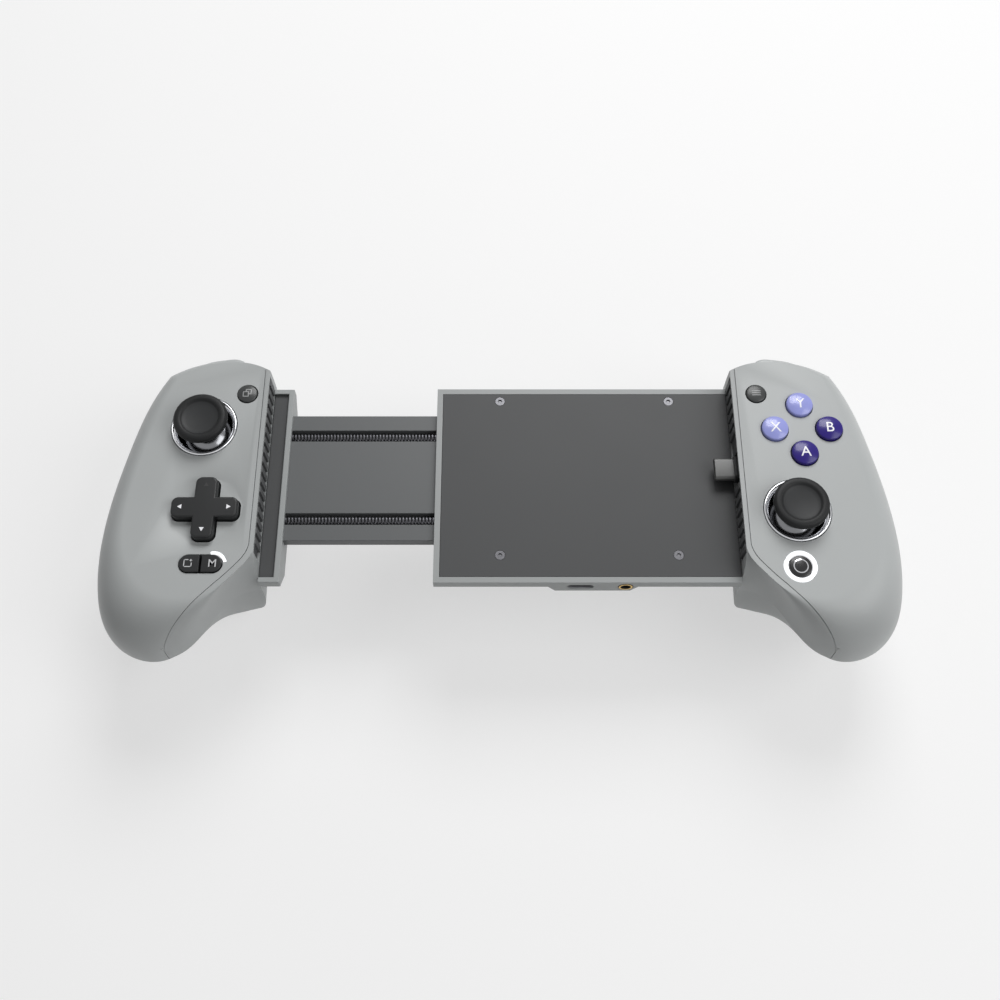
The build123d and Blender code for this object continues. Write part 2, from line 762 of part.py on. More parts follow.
# Triggers: a curved finger face between two cheeks that turn on a pin
for side, side_name in side_names.items():
    near_x = side * (wall_x + trigger_low_u)
    far_x = side * (wall_x + trigger_high_u)
    profile_plane = Plane(origin=(min(near_x, far_x), 0, 0), x_dir=(0, 1, 0), z_dir=(1, 0, 0))
    with BuildPart() as trigger:
        with BuildSketch(profile_plane):
            with BuildLine():
                Spline(*trigger_front_places)
                ThreePointArc(trigger_front_places[-1], trigger_lip_place, trigger_rear_places[0])
                Spline(*trigger_rear_places)
                Line(trigger_rear_places[-1], trigger_front_places[0])
            make_face()
        extrude(amount=trigger_high_u - trigger_low_u)
        for start in (0, trigger_high_u - trigger_low_u - trigger_cheek):
            with BuildSketch(profile_plane.offset(start)):
                with BuildLine():
                    Polyline((trigger_pivot[0], trigger_pivot[1] + trigger_boss_radius),
                             trigger_front_places[0], trigger_front_places[1], trigger_rear_places[3],
                             trigger_rear_places[2],
                             (trigger_pivot[0], trigger_pivot[1] - trigger_boss_radius),
                             close=True)
                make_face()
                with Locations(trigger_pivot):
                    Circle(trigger_boss_radius)
            extrude(amount=trigger_cheek)
        with BuildSketch(profile_plane):
            with Locations(trigger_pivot):
                Circle(trigger_pin_radius + running_clearance)
        extrude(amount=trigger_high_u - trigger_low_u, mode=Mode.SUBTRACT)
    trigger.part.label = side_name + "_trigger"
    export_step(trigger.part, "parts/" + side_name + "_trigger.step")

# Pins of the bumpers and triggers
for side, side_name in side_names.items():
    pin_x = side * (wall_x + bumper_pin_u)
    pin_length = trigger_high_u - trigger_low_u + 2 * seam + 2 * shoulder_block_wall - 2 * overrun
    middle_x = side * (wall_x + (trigger_low_u + trigger_high_u) / 2)
    with BuildPart() as pins:
        with BuildSketch(Plane.XY.offset(bumper_bottom - seam)):
            with Locations((pin_x, shoulder_y + bumper_pin_rise)):
                Circle(bumper_pin_radius)
        extrude(amount=bumper_top - bumper_bottom - overrun)
        with BuildSketch(Plane(origin=(middle_x, *trigger_pivot), z_dir=(1, 0, 0))):
            Circle(trigger_pin_radius)
        extrude(amount=pin_length / 2, both=True)
    pins.part.label = side_name + "_shoulder_pins"
    export_step(pins.part, "parts/" + side_name + "_shoulder_pins.step")

# Rear buttons, pushed through windows in the shells' inner flanks
for side, side_name in side_names.items():
    with BuildPart() as rear_button:
        with BuildSketch(rear_button_planes[side].offset(-rear_button_depth)):
            RectangleRounded(rear_button_width, rear_button_length, rear_button_corner)
        extrude(amount=rear_button_depth + rear_button_proud)
        fillet(rear_button.faces().sort_by(Axis((0, 0, 0), rear_button_planes[side].z_dir))[-1].edges(),
               radius=rear_button_round)
        with BuildSketch(rear_button_planes[side].offset(-rear_button_depth - rear_button_flange)):
            RectangleRounded(rear_button_width + 2 * flange_lap, rear_button_length + 2 * flange_lap,
                             rear_button_corner)
        extrude(amount=rear_button_flange)
    rear_button.part.label = side_name + "_rear_button"
    export_step(rear_button.part, "parts/" + side_name + "_rear_button.step")

def tooth_count(length):
    """How many whole teeth of a comb fit on a length."""
    return int(length / tooth_pitch)


# Rubber combs that the phone's ends press on
for side, side_name in side_names.items():
    pocket_floor = side * (wall_x + pad_pocket_depth)
    tip_x = side * phone_gap / 2
    base_x = pocket_floor - side * pad_base_thickness / 2
    low_y = pad_middle_y - pad_pocket_length / 2
    high_y = pad_middle_y + pad_pocket_length / 2
    first_y = high_y - tooth_pitch / 2
    if side < 0:
        stretches = [(low_y, high_y)]
        teeth = [first_y - tooth_pitch * index for index in range(tooth_count(high_y - low_y))]
    else:
        gap_half = cradle_half_width + pad_gap
        stretches = [(low_y, -gap_half), (gap_half, high_y)]
        upper_count = tooth_count(high_y - gap_half - comb_bare_length)
        lower_count = tooth_count(-gap_half - low_y)
        upper = [first_y - tooth_pitch * index for index in range(upper_count)]
        lower = [low_y + tooth_pitch / 2 + tooth_pitch * index for index in range(lower_count)]
        teeth = upper + lower
    with BuildPart() as pad:
        with BuildSketch(Plane.XY.offset(pad_low)):
            for start, end in stretches:
                with Locations((base_x, (start + end) / 2)):
                    Rectangle(pad_base_thickness, end - start)
            for tooth_y in teeth:
                with Locations(((tip_x + pocket_floor) / 2, tooth_y)):
                    Rectangle(abs(pocket_floor - tip_x), tooth_width)
        extrude(amount=pad_high - pad_low)
    pad.part.label = side_name + "_phone_pad"
    export_step(pad.part, "parts/" + side_name + "_phone_pad.step")

# Rocking cradle of the phone plug
cradle_plane = Plane(origin=(wall_x, 0, plug_height), x_dir=(0, 1, 0), z_dir=(-1, 0, 0))
with BuildPart() as cradle:
    with BuildSketch(cradle_plane.offset(-cradle_front_u)):
        RectangleRounded(2 * cradle_half_width, 2 * cradle_half_height, cradle_corner)
    extrude(amount=cradle_front_u - cradle_back_u)
    with BuildSketch(cradle_plane.offset(-cradle_front_u)):
        SlotOverall(plug_width, plug_thickness)
    extrude(amount=-plug_root, mode=Mode.SUBTRACT)
    with BuildSketch(Plane(origin=(wall_x + cradle_pivot_u, 0, plug_height), z_dir=(0, 1, 0))):
        Circle(plug_pin_radius - running_clearance)
    extrude(amount=cradle_half_width + pad_clearance + cradle_lug_thickness, both=True)
cradle.part.label = "plug_cradle"
export_step(cradle.part, "parts/plug_cradle.step")

with BuildPart() as plug:
    with BuildSketch(cradle_plane.offset(-cradle_front_u - plug_root)):
        SlotOverall(plug_width, plug_thickness)
    extrude(amount=plug_reach + plug_root)
    fillet(plug.faces().sort_by(Axis.X)[0].edges(), radius=plug_round)
    with BuildSketch(cradle_plane.offset(-cradle_front_u + plug_reach)):
        SlotOverall(plug_width - 2 * plug_wall, plug_thickness - 2 * plug_wall)
    extrude(amount=-plug_reach + overrun, mode=Mode.SUBTRACT)
plug.part.label = "phone_plug"
export_step(plug.part, "parts/phone_plug.step")


def bridge_profile(start_x):
    """The bridge's cross section, at one X."""
    front_foot = bridge_front + bridge_chamfer
    back_foot = bridge_back - bridge_chamfer
    with BuildSketch(Plane(origin=(start_x, 0, 0), x_dir=(0, 1, 0), z_dir=(1, 0, 0))) as profile:
        with BuildLine():
            Polyline((bridge_front, 0), (bridge_front, -bridge_rim_height), (front_foot, -bridge_depth),
                     (back_foot, -bridge_depth), (bridge_back, -bridge_rim_height), (bridge_back, 0),
                     close=True)
        make_face()
    return profile.sketch


# Bridge housing: a tray with a belly, open at its left end for the slider
bridge_right_end = wall_x
bridge_middle_y = (bridge_front + bridge_back) / 2
bridge_width = bridge_back - bridge_front
slider_room_width = 2 * (slider_half_width + slider_clearance)
with BuildPart() as housing:
    extrude(bridge_profile(bridge_left_end), amount=bridge_right_end - bridge_left_end)
    with BuildSketch(Plane.XZ.offset(-bridge_front)):
        with BuildLine():
            Polyline((bulge_start, -bulge_top), (bulge_start + bulge_chamfer, -bulge_depth),
                     (bulge_end - bulge_chamfer, -bulge_depth), (bulge_end, -bulge_top), close=True)
        make_face()
    extrude(amount=-bulge_length)
    # Seat of the lid
    with BuildSketch(Plane.XY.offset(-lid_thickness)):
        with Locations(((bridge_left_end + bridge_rim + bridge_right_end + overrun) / 2, bridge_middle_y)):
            Rectangle(bridge_right_end - bridge_left_end - bridge_rim + overrun,
                      bridge_width - 2 * bridge_rim)
    extrude(amount=lid_thickness + overrun, mode=Mode.SUBTRACT)
    # Channel of the slider, deeper where its stop lug runs
    slider_top = -lid_thickness - slider_clearance
    slider_bottom = slider_top - slider_thickness
    with BuildSketch(Plane.XY.offset(slider_bottom - slider_clearance)):
        with Locations(((bridge_left_end - overrun + slider_room_end) / 2, 0)):
            Rectangle(slider_room_end - bridge_left_end + overrun, slider_room_width)
    extrude(amount=slider_thickness + 2 * slider_clearance, mode=Mode.SUBTRACT)
    with BuildSketch(Plane.XY.offset(slider_bottom - slider_lug_depth - slider_clearance)):
        with Locations(((slider_stop_x + slider_room_end) / 2, 0)):
            Rectangle(slider_room_end - slider_stop_x, slider_room_width)
    extrude(amount=slider_thickness, mode=Mode.SUBTRACT)
    with BuildSketch(Plane.XY.offset(-lid_thickness)):
        with Locations(*bridge_screw_places):
            Circle(screw_radius)
    extrude(amount=-bridge_screw_length, mode=Mode.SUBTRACT)
    # Mouths of the charge port and the headphone jack
    front_plane = Plane.XZ.offset(-bridge_front)
    with BuildSketch(front_plane):
        with Locations((charge_port_x, port_height)):
            SlotOverall(charge_port_width, charge_port_height)
    extrude(amount=-charge_port_length, mode=Mode.SUBTRACT)
    with BuildSketch(front_plane):
        with Locations((jack_x, port_height)):
            Circle(jack_collar_radius)
    extrude(amount=-overrun, mode=Mode.SUBTRACT)
    with BuildSketch(front_plane.offset(-overrun)):
        with Locations((jack_x, port_height)):
            Rectangle(jack_body_width, jack_body_height)
    extrude(amount=-jack_length, mode=Mode.SUBTRACT)
housing.part.label = "bridge_housing"
export_step(housing.part, "parts/bridge_housing.step")

with BuildPart() as lid:
    with BuildSketch(Plane.XY.offset(-lid_thickness)):
        with Locations(((bridge_left_end + bridge_rim + bridge_right_end) / 2, bridge_middle_y)):
            Rectangle(bridge_right_end - bridge_left_end - bridge_rim - 2 * lid_clearance,
                      bridge_width - 2 * bridge_rim - 2 * lid_clearance)
    extrude(amount=lid_thickness)
    with BuildSketch(Plane.XY.offset(-bridge_screw_head_height)):
        with Locations(*bridge_screw_places):
            Circle(screw_head_radius + running_clearance)
    extrude(amount=lid_thickness, mode=Mode.SUBTRACT)
    with BuildSketch(Plane.XY.offset(-lid_thickness - overrun)):
        with Locations(*bridge_screw_places):
            Circle(screw_radius)
    extrude(amount=lid_thickness + overrun, mode=Mode.SUBTRACT)
lid.part.label = "bridge_lid"
export_step(lid.part, "parts/bridge_lid.step")

# Left tray, the short end of the bridge that stays on the left grip
tray_start = -wall_x
with BuildPart() as tray:
    extrude(bridge_profile(tray_start), amount=tray_end - tray_start)
    with BuildSketch(Plane.XY.offset(-tray_lip)):
        with Locations(((tray_start + tray_end - bridge_rim) / 2, bridge_middle_y)):
            Rectangle(tray_end - bridge_rim - tray_start, bridge_width - 2 * bridge_rim)
    extrude(amount=tray_lip + overrun, mode=Mode.SUBTRACT)
    with BuildSketch(Plane.XY.offset(slider_bottom)):
        with Locations(((tray_start + tray_end) / 2, 0)):
            Rectangle(2 * (tray_end - tray_start), 2 * slider_half_width)
    extrude(amount=slider_thickness, mode=Mode.SUBTRACT)
tray.part.label = "left_tray"
export_step(tray.part, "parts/left_tray.step")

# Slider that the two grips telescope on
with BuildPart() as slider:
    with BuildSketch(Plane.XY.offset(slider_bottom)):
        with Locations(((tray_start + slider_right_end) / 2, 0)):
            Rectangle(slider_right_end - tray_start, 2 * slider_half_width)
    extrude(amount=slider_thickness)
    with BuildSketch(Plane.XY.offset(slider_bottom - slider_lug_depth)):
        with Locations((slider_right_end - slider_lug_length / 2, 0)):
            Rectangle(slider_lug_length, 2 * slider_half_width)
    extrude(amount=slider_thickness)
    with BuildSketch(Plane.XY.offset(slider_top)):
        with Locations(((tray_start + slider_lug_length + slider_right_end) / 2, spring_place_y),
                       ((tray_start + slider_lug_length + slider_right_end) / 2, -spring_place_y)):
            Rectangle(slider_right_end - tray_start - slider_lug_length, spring_groove_width)
    extrude(amount=-2 * spring_radius - slider_clearance, mode=Mode.SUBTRACT)
slider.part.label = "bridge_slider"
export_step(slider.part, "parts/bridge_slider.step")

# Springs that draw the grips together, wound close enough to be drawn as sleeves
spring_start_x = tray_start + slider_lug_length
spring_height = slider_top - spring_radius
with BuildPart() as springs:
    with BuildSketch(Plane.YZ.offset(spring_start_x)):
        with Locations((spring_place_y, spring_height), (-spring_place_y, spring_height)):
            Circle(spring_radius)
            Circle(spring_bore_radius, mode=Mode.SUBTRACT)
    extrude(amount=spring_anchor_x - spring_start_x)
springs.part.label = "retraction_springs"
export_step(springs.part, "parts/retraction_springs.step")

# Ports
with BuildPart() as charge_port:
    outer_width = charge_port_width - 2 * running_clearance
    outer_height = charge_port_height - 2 * running_clearance
    with BuildSketch(front_plane.offset(-charge_port_wall)):
        with Locations((charge_port_x, port_height)):
            SlotOverall(outer_width, outer_height)
            SlotOverall(charge_port_width - 2 * charge_port_wall, charge_port_height - 2 * charge_port_wall,
                        mode=Mode.SUBTRACT)
    extrude(amount=charge_port_wall - charge_port_length)
    with BuildSketch(front_plane.offset(-charge_port_length)):
        with Locations((charge_port_x, port_height)):
            SlotOverall(outer_width, outer_height)
    extrude(amount=overrun)
    with BuildSketch(front_plane.offset(-charge_port_length + overrun)):
        with Locations((charge_port_x, port_height)):
            Rectangle(charge_port_width - charge_port_height, charge_tongue_thickness)
    extrude(amount=charge_port_length - 2 * overrun)
charge_port.part.label = "charge_port"
export_step(charge_port.part, "parts/charge_port.step")

with BuildPart() as jack:
    with BuildSketch(front_plane):
        with Locations((jack_x, port_height)):
            Circle(jack_collar_radius - running_clearance)
    extrude(amount=-overrun)
    with BuildSketch(front_plane.offset(-overrun)):
        with Locations((jack_x, port_height)):
            Rectangle(jack_body_width - 2 * running_clearance, jack_body_height - 2 * running_clearance)
    extrude(amount=running_clearance - jack_length)
    with BuildSketch(front_plane):
        with Locations((jack_x, port_height)):
            Circle(jack_bore_radius)
    extrude(amount=-jack_length, mode=Mode.SUBTRACT)
jack.part.label = "headphone_jack"
export_step(jack.part, "parts/headphone_jack.step")

# Round push buttons with flanges under the deck and plungers over the membranes
button_proud = {"home_button": home_button_proud, "menu_button": menu_button_proud,
                "view_button": menu_button_proud}
button_crown = {"home_button": home_button_crown, "menu_button": menu_button_crown,
                "view_button": menu_button_crown}
for side in side_names:
    for name, place, radius in round_buttons[side]:
        top = face_height + button_proud.get(name, face_button_proud)
        shoulder_height = top - button_crown.get(name, face_button_crown)
        flange_top = deck_underside - button_clearance
        flange_bottom = flange_top - flange_thickness
        travel = small_travel if name in button_proud else face_button_travel
        plunger_bottom = dome_top_at(side, place) + travel + button_clearance
        with BuildPart() as button:
            with BuildSketch(turning_plane(place)):
                with BuildLine():
                    Polyline((0, top), (0, plunger_bottom), (plunger_radius, plunger_bottom),
                             (plunger_radius, flange_bottom), (radius + flange_lap, flange_bottom),
                             (radius + flange_lap, flange_top), (radius, flange_top),
                             (radius, shoulder_height))
                    ThreePointArc((radius, shoulder_height), crown_middle(radius, shoulder_height, top),
                                  (0, top))
                make_face()
            revolve(axis=upright(place))
        button.part.label = name
        export_step(button.part, "parts/" + name + ".step")

# The capsule's two buttons
capsule_plunger_xs = {end: capsule_place[0] + end * (capsule_length + capsule_gap) / 4 for end in (-1, 1)}
for end, name in ((-1, "capture_button"), (1, "macro_button")):
    plunger_bottom = dome_top_at(-1, capsule_place) + small_travel + button_clearance
    flange_top = deck_underside - button_clearance
    with BuildPart() as button:
        with BuildSketch(Plane.XY.offset(flange_top)):
            with Locations(capsule_place):
                add(capsule_half_outline(end))
        extrude(amount=face_height + capsule_proud - flange_top)
        fillet(button.faces().sort_by(Axis.Z)[-1].edges(), radius=capsule_round)
        with BuildSketch(Plane.XY.offset(flange_top - flange_thickness)):
            with Locations(capsule_place):
                add(capsule_half_outline(end, flange_lap))
        extrude(amount=flange_thickness)
        with BuildSketch(Plane.XY.offset(plunger_bottom)):
            with Locations((capsule_plunger_xs[end], capsule_place[1])):
                Circle(plunger_radius)
        extrude(amount=flange_top - flange_thickness - plunger_bottom)
    button.part.label = name
    export_step(button.part, "parts/" + name + ".step")

# Light guides: the arc beside the capsule and the ring round the home button
with BuildPart() as mode_light:
    with BuildSketch(Plane.XY.offset(seat_height)):
        with Locations(light_place):
            add(light_arc_outline())
    extrude(amount=face_height - seat_height)
mode_light.part.label = "mode_light"
export_step(mode_light.part, "parts/mode_light.step")

with BuildPart() as home_ring:
    with BuildSketch(Plane.XY.offset(seat_height)):
        with Locations(home_place):
            Circle(home_ring_radius)
            Circle(home_button_radius + button_clearance, mode=Mode.SUBTRACT)
    extrude(amount=face_height + home_ring_proud - seat_height)
home_ring.part.label = "home_light_ring"
export_step(home_ring.part, "parts/home_light_ring.step")

# Direction pad on its rocker
with BuildPart() as dpad:
    with BuildSketch(Plane.XY.offset(dpad_base_height)):
        with Locations(dpad_place):
            add(cross_outline(dpad_half_span, dpad_arm_width, dpad_corner))
    extrude(amount=face_height + dpad_proud - dpad_base_height)
    fillet(dpad.faces().sort_by(Axis.Z)[-1].edges(), radius=dpad_top_round)
    plunger_bottom = dome_top_at(-1, dpad_place) + dpad_room
    with BuildSketch(Plane.XY.offset(plunger_bottom)):
        with Locations(dpad_place):
            with PolarLocations(dpad_plunger_place, 4):
                Circle(dpad_plunger_radius)
    extrude(amount=dpad_base_height - plunger_bottom)
    # Tabs that keep the pad under the deck
    with BuildSketch(Plane.XY.offset(dpad_tab_top - dpad_tab_thickness)):
        with Locations(dpad_place):
            with PolarLocations((dpad_plunger_place + dpad_tab_reach) / 2, 4):
                Rectangle(dpad_tab_reach - dpad_plunger_place, dpad_tab_width)
    extrude(amount=dpad_tab_thickness)
dpad.part.label = "direction_pad"
export_step(dpad.part, "parts/direction_pad.step")

with BuildPart() as rocker:
    with BuildSketch(Plane.XY.offset(rocker_top - rocker_thickness)):
        with Locations(dpad_place):
            Circle(rocker_radius)
    extrude(amount=rocker_thickness)
    with BuildSketch(turning_plane(dpad_place)):
        with BuildLine():
            Polyline((0, rocker_top - rocker_thickness), (rocker_tip_radius, rocker_top - rocker_thickness),
                     (0, board_top + membrane_thickness + button_clearance), close=True)
        make_face()
    revolve(axis=upright(dpad_place))
rocker.part.label = "dpad_rocker"
export_step(rocker.part, "parts/dpad_rocker.step")

# Thumb sticks and the gimbals under them
module_top = stick_tilt_height + module_height_over_pivot
for side, side_name in side_names.items():
    place = stick_places[side]
    # Ring that the stick runs inside
    with BuildPart() as ring:
        lip_radius = ring_inner_radius + ring_lip - seam / 2
        lip_bottom = seat_height - ring_lip_depth
        with BuildSketch(turning_plane(place)):
            with BuildLine():
                Polyline((ring_outer_radius, face_height), (ring_outer_radius, seat_height),
                         (lip_radius, seat_height), (lip_radius, lip_bottom), (ring_inner_radius, lip_bottom),
                         (ring_slope_radius, face_height))
                crest_radius = (ring_slope_radius + ring_outer_radius) / 2
                ThreePointArc((ring_slope_radius, face_height), (crest_radius, face_height + ring_proud),
                              (ring_outer_radius, face_height))
            make_face()
        revolve(axis=upright(place))
    ring.part.label = side_name + "_stick_ring"
    export_step(ring.part, "parts/" + side_name + "_stick_ring.step")

    # Thumb stick: dished cap, neck and dome skirt, turned in one piece
    with BuildPart() as stick:
        rim = radians(dome_rim_angle)
        middle = radians(dome_middle_angle)
        inner_radius = dome_radius - dome_wall
        neck_foot = stick_tilt_height + sqrt(dome_radius**2 - neck_radius**2)
        inner_foot = stick_tilt_height + sqrt(inner_radius**2 - shaft_socket_radius**2)
        shaft_top = stick_tilt_height + dome_radius + shaft_rise
        with BuildSketch(turning_plane(place)):
            with BuildLine():
                Polyline((0, cap_top - cap_dish_depth), (0, shaft_top), (shaft_socket_radius, shaft_top),
                         (shaft_socket_radius, inner_foot))
                ThreePointArc((shaft_socket_radius, inner_foot),
                              (inner_radius * sin(middle), stick_tilt_height + inner_radius * cos(middle)),
                              (inner_radius * sin(rim), stick_tilt_height + inner_radius * cos(rim)))
                Line((inner_radius * sin(rim), stick_tilt_height + inner_radius * cos(rim)),
                     (dome_radius * sin(rim), stick_tilt_height + dome_radius * cos(rim)))
                ThreePointArc((dome_radius * sin(rim), stick_tilt_height + dome_radius * cos(rim)),
                              (dome_radius * sin(middle), stick_tilt_height + dome_radius * cos(middle)),
                              (neck_radius, neck_foot))
                Line((neck_radius, neck_foot), (neck_radius, cap_underside))
                Line((neck_radius, cap_underside), (cap_radius - cap_edge_round, cap_underside))
                ThreePointArc((cap_radius - cap_edge_round, cap_underside),
                              (cap_radius, cap_widest), (cap_radius - cap_edge_round, cap_top))
                dish_edge = cap_top - cap_rim_step
                Polyline((cap_radius - cap_edge_round, cap_top), (cap_rim_radius, cap_top),
                         (cap_dish_radius, dish_edge))
                ThreePointArc((cap_dish_radius, dish_edge),
                              crown_middle(cap_dish_radius, dish_edge, cap_top - cap_dish_depth),
                              (0, cap_top - cap_dish_depth))
            make_face()
        revolve(axis=upright(place))
    stick.part.label = side_name + "_thumbstick"
    export_step(stick.part, "parts/" + side_name + "_thumbstick.step")

    # Shaft that the stick is pushed onto
    with BuildPart() as shaft:
        ball_top = stick_tilt_height + sqrt(ball_radius**2 - shaft_radius**2)
        with BuildSketch(turning_plane(place)):
            with BuildLine():
                Polyline((0, stick_tilt_height - ball_radius), (0, shaft_top - click_travel - seam),
                         (shaft_head_radius, shaft_top - click_travel - seam),
                         (shaft_head_radius, shaft_step_height + shaft_head_radius - shaft_radius),
                         (shaft_radius, shaft_step_height), (shaft_radius, ball_top))
                ThreePointArc((shaft_radius, ball_top), (ball_radius, stick_tilt_height),
                              (0, stick_tilt_height - ball_radius))
            make_face()
        revolve(axis=upright(place))
    shaft.part.label = side_name + "_stick_shaft"
    export_step(shaft.part, "parts/" + side_name + "_stick_shaft.step")

    # Slotted yoke that turns in the module's walls
    with BuildPart() as yoke:
        with BuildSketch(Plane.XZ.offset(-place[1] - yoke_width / 2)):
            with Locations((place[0], stick_tilt_height)):
                Circle(yoke_radius)
                Circle(yoke_radius - yoke_thickness, mode=Mode.SUBTRACT)
                with Locations((0, -yoke_radius)):
                    Rectangle(4 * yoke_radius, 2 * yoke_radius, mode=Mode.SUBTRACT)
        extrude(amount=yoke_width)
        with BuildSketch(Plane.XY.offset(stick_tilt_height)):
            with Locations(place):
                Rectangle(2 * (yoke_radius - yoke_thickness), 2 * (shaft_radius + shaft_clearance))
        extrude(amount=2 * yoke_radius, mode=Mode.SUBTRACT)
        with BuildSketch(Plane.YZ.offset(place[0] - module_half)):
            with Locations((place[1], stick_tilt_height)):
                Circle(axle_radius)
        extrude(amount=module_half - yoke_radius + yoke_thickness)
        with BuildSketch(Plane.YZ.offset(place[0] + yoke_radius - yoke_thickness)):
            with Locations((place[1], stick_tilt_height)):
                Circle(axle_radius)
        extrude(amount=module_half - yoke_radius + yoke_thickness)
    yoke.part.label = side_name + "_stick_yoke"
    export_step(yoke.part, "parts/" + side_name + "_stick_yoke.step")

    # Module box with the yoke's bearings
    inner_width = 2 * (module_half - module_wall)
    with BuildPart() as module:
        with BuildSketch(Plane.XY.offset(board_top)):
            with Locations(place):
                Rectangle(2 * module_half, 2 * module_half)
                Rectangle(inner_width, inner_width, mode=Mode.SUBTRACT)
        extrude(amount=module_top - board_top)
        with BuildSketch(Plane.XY.offset(board_top)):
            with Locations(place):
                Rectangle(2 * module_half, 2 * module_half)
        extrude(amount=module_floor)
        # Seat of the shaft's ball
        with BuildSketch(Plane.XY.offset(board_top)):
            with Locations(place):
                Circle(ball_seat_radius)
        extrude(amount=stick_tilt_height - ball_seat_drop - board_top)
        with Locations((place[0], place[1], stick_tilt_height)):
            Sphere(ball_radius + running_clearance, mode=Mode.SUBTRACT)
        with BuildSketch(Plane.YZ.offset(place[0])):
            with Locations((place[1], stick_tilt_height)):
                Circle(axle_radius + running_clearance)
        extrude(amount=2 * module_half, both=True, mode=Mode.SUBTRACT)
    module.part.label = side_name + "_stick_module"
    export_step(module.part, "parts/" + side_name + "_stick_module.step")

# Control boards and the rubber membranes over them, both stepping up over the triggers
membrane_domes = {side: [place for name, place, radius in round_buttons[side]] for side in side_names}
for x in capsule_plunger_xs.values():
    membrane_domes[-1].append((x, capsule_place[1]))
for quarter in range(4):
    angle = radians(90 * quarter)
    membrane_domes[-1].append((dpad_place[0] + dpad_plunger_place * cos(angle),
                               dpad_place[1] + dpad_plunger_place * sin(angle)))


def sheet_outline(side, inset, low_u, low_y, high_y):
    """Plan of a board or membrane, within the grip and between two cross lines."""
    with BuildSketch() as outline:
        add(grip_outline(side, parting_outline_shares, face_outline_shares, cavity_share, inset, inset))
        with Locations((side * wall_x, 0)):
            Rectangle(2 * low_u, 4 * grip_length, mode=Mode.SUBTRACT)
        with Locations((side * wall_x, (low_y + high_y) / 2)):
            Rectangle(4 * grip_width, high_y - low_y, mode=Mode.INTERSECT)
    return facing_up(outline.sketch)


for side, side_name in side_names.items():
    step_y = raised_board_steps[side]
    block_back = trigger_pocket_back - shoulder_block_wall
    main_board_back = min(step_y + board_thickness, block_back - board_clearance)
    wall_u = pad_pocket_depth + shell_wall + board_clearance
    main_low_u = cradle_back_u + board_cradle_gap
    post_places = shell_screw_places[side] + board_screw_places[side]
    with BuildPart() as board:
        with BuildSketch(Plane.XY.offset(board_top - board_thickness)):
            add(sheet_outline(side, board_inset, main_low_u, -grip_length, main_board_back))
        extrude(amount=board_thickness)
        with BuildSketch(Plane.XY.offset(raised_board_top - board_thickness)):
            add(sheet_outline(side, board_inset, wall_u, step_y, raised_board_back))
        extrude(amount=board_thickness)
        # Spacer between the two levels
        with BuildSketch(Plane.XY.offset(board_top)):
            with Locations((side * (wall_x + spacer_u), (step_y + main_board_back) / 2)):
                Rectangle(spacer_width, main_board_back - step_y)
        extrude(amount=raised_board_top - board_thickness - board_top)
        with BuildSketch(Plane.XY.offset(board_top - board_thickness)):
            with Locations(*post_places):
                Circle(screw_radius)
        extrude(amount=board_thickness, mode=Mode.SUBTRACT)
    board.part.label = side_name + "_control_board"
    export_step(board.part, "parts/" + side_name + "_control_board.step")

    with BuildPart() as membrane:
        with BuildSketch(Plane.XY.offset(board_top)):
            add(sheet_outline(side, membrane_inset, main_low_u + overrun, -grip_length, step_y))
        extrude(amount=membrane_thickness)
        with BuildSketch(Plane.XY.offset(raised_board_top)):
            add(sheet_outline(side, membrane_inset, wall_u + overrun, step_y - membrane_thickness,
                              raised_board_back - overrun))
        extrude(amount=membrane_thickness)
        with BuildSketch(Plane.XY.offset(board_top)):
            add(sheet_outline(side, membrane_inset, main_low_u + overrun, step_y - membrane_thickness,
                              step_y))
        extrude(amount=raised_board_top + membrane_thickness - board_top)
        for place in membrane_domes[side]:
            with BuildSketch(Plane.XY.offset(dome_top_at(side, place) - dome_button_height)):
                with Locations(place):
                    Circle(plunger_radius + seam)
            extrude(amount=dome_button_height, taper=membrane_taper)
        with BuildSketch(Plane.XY.offset(board_top)):
            with Locations(stick_places[side]):
                Rectangle(2 * (module_half + seam), 2 * (module_half + seam))
            with Locations(*post_places):
                Circle(post_radius + seam)
        extrude(amount=deck_height - board_top, mode=Mode.SUBTRACT)
    membrane.part.label = side_name + "_membrane"
    export_step(membrane.part, "parts/" + side_name + "_membrane.step")


def screws_part(places, seat, length, head_height, upward):
    """Screws with socket heads under a seat and shanks rising from it, or the other way up."""
    direction = 1 if upward else -1
    with BuildPart() as screws:
        with BuildSketch(Plane.XY.offset(seat)):
            with Locations(*places):
                Circle(screw_head_radius)
        extrude(amount=-direction * head_height)
        with BuildSketch(Plane.XY.offset(seat)):
            with Locations(*places):
                Circle(screw_radius)
        extrude(amount=direction * length)
        with BuildSketch(Plane.XY.offset(seat - direction * head_height)):
            with Locations(*places):
                RegularPolygon(socket_radius, 6)
        extrude(amount=direction * head_height / 2, mode=Mode.SUBTRACT)
    return screws.part


for side, side_name in side_names.items():
    with BuildPart() as screws:
        add(screws_part(shell_screw_places[side], shell_screw_seat, shell_screw_length, screw_head_height,
                        True))
        add(screws_part(board_screw_places[side], board_top - board_thickness, board_screw_length,
                        screw_head_height, True))
    screws.part.label = side_name + "_screws"
    export_step(screws.part, "parts/" + side_name + "_screws.step")

with BuildPart() as bridge_screws:
    add(screws_part(bridge_screw_places, -bridge_screw_head_height, bridge_screw_length,
                    bridge_screw_head_height, False))
bridge_screws.part.label = "bridge_screws"
export_step(bridge_screws.part, "parts/bridge_screws.step")
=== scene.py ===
"""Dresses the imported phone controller: telescoping bridge, two moulded grips and their controls."""

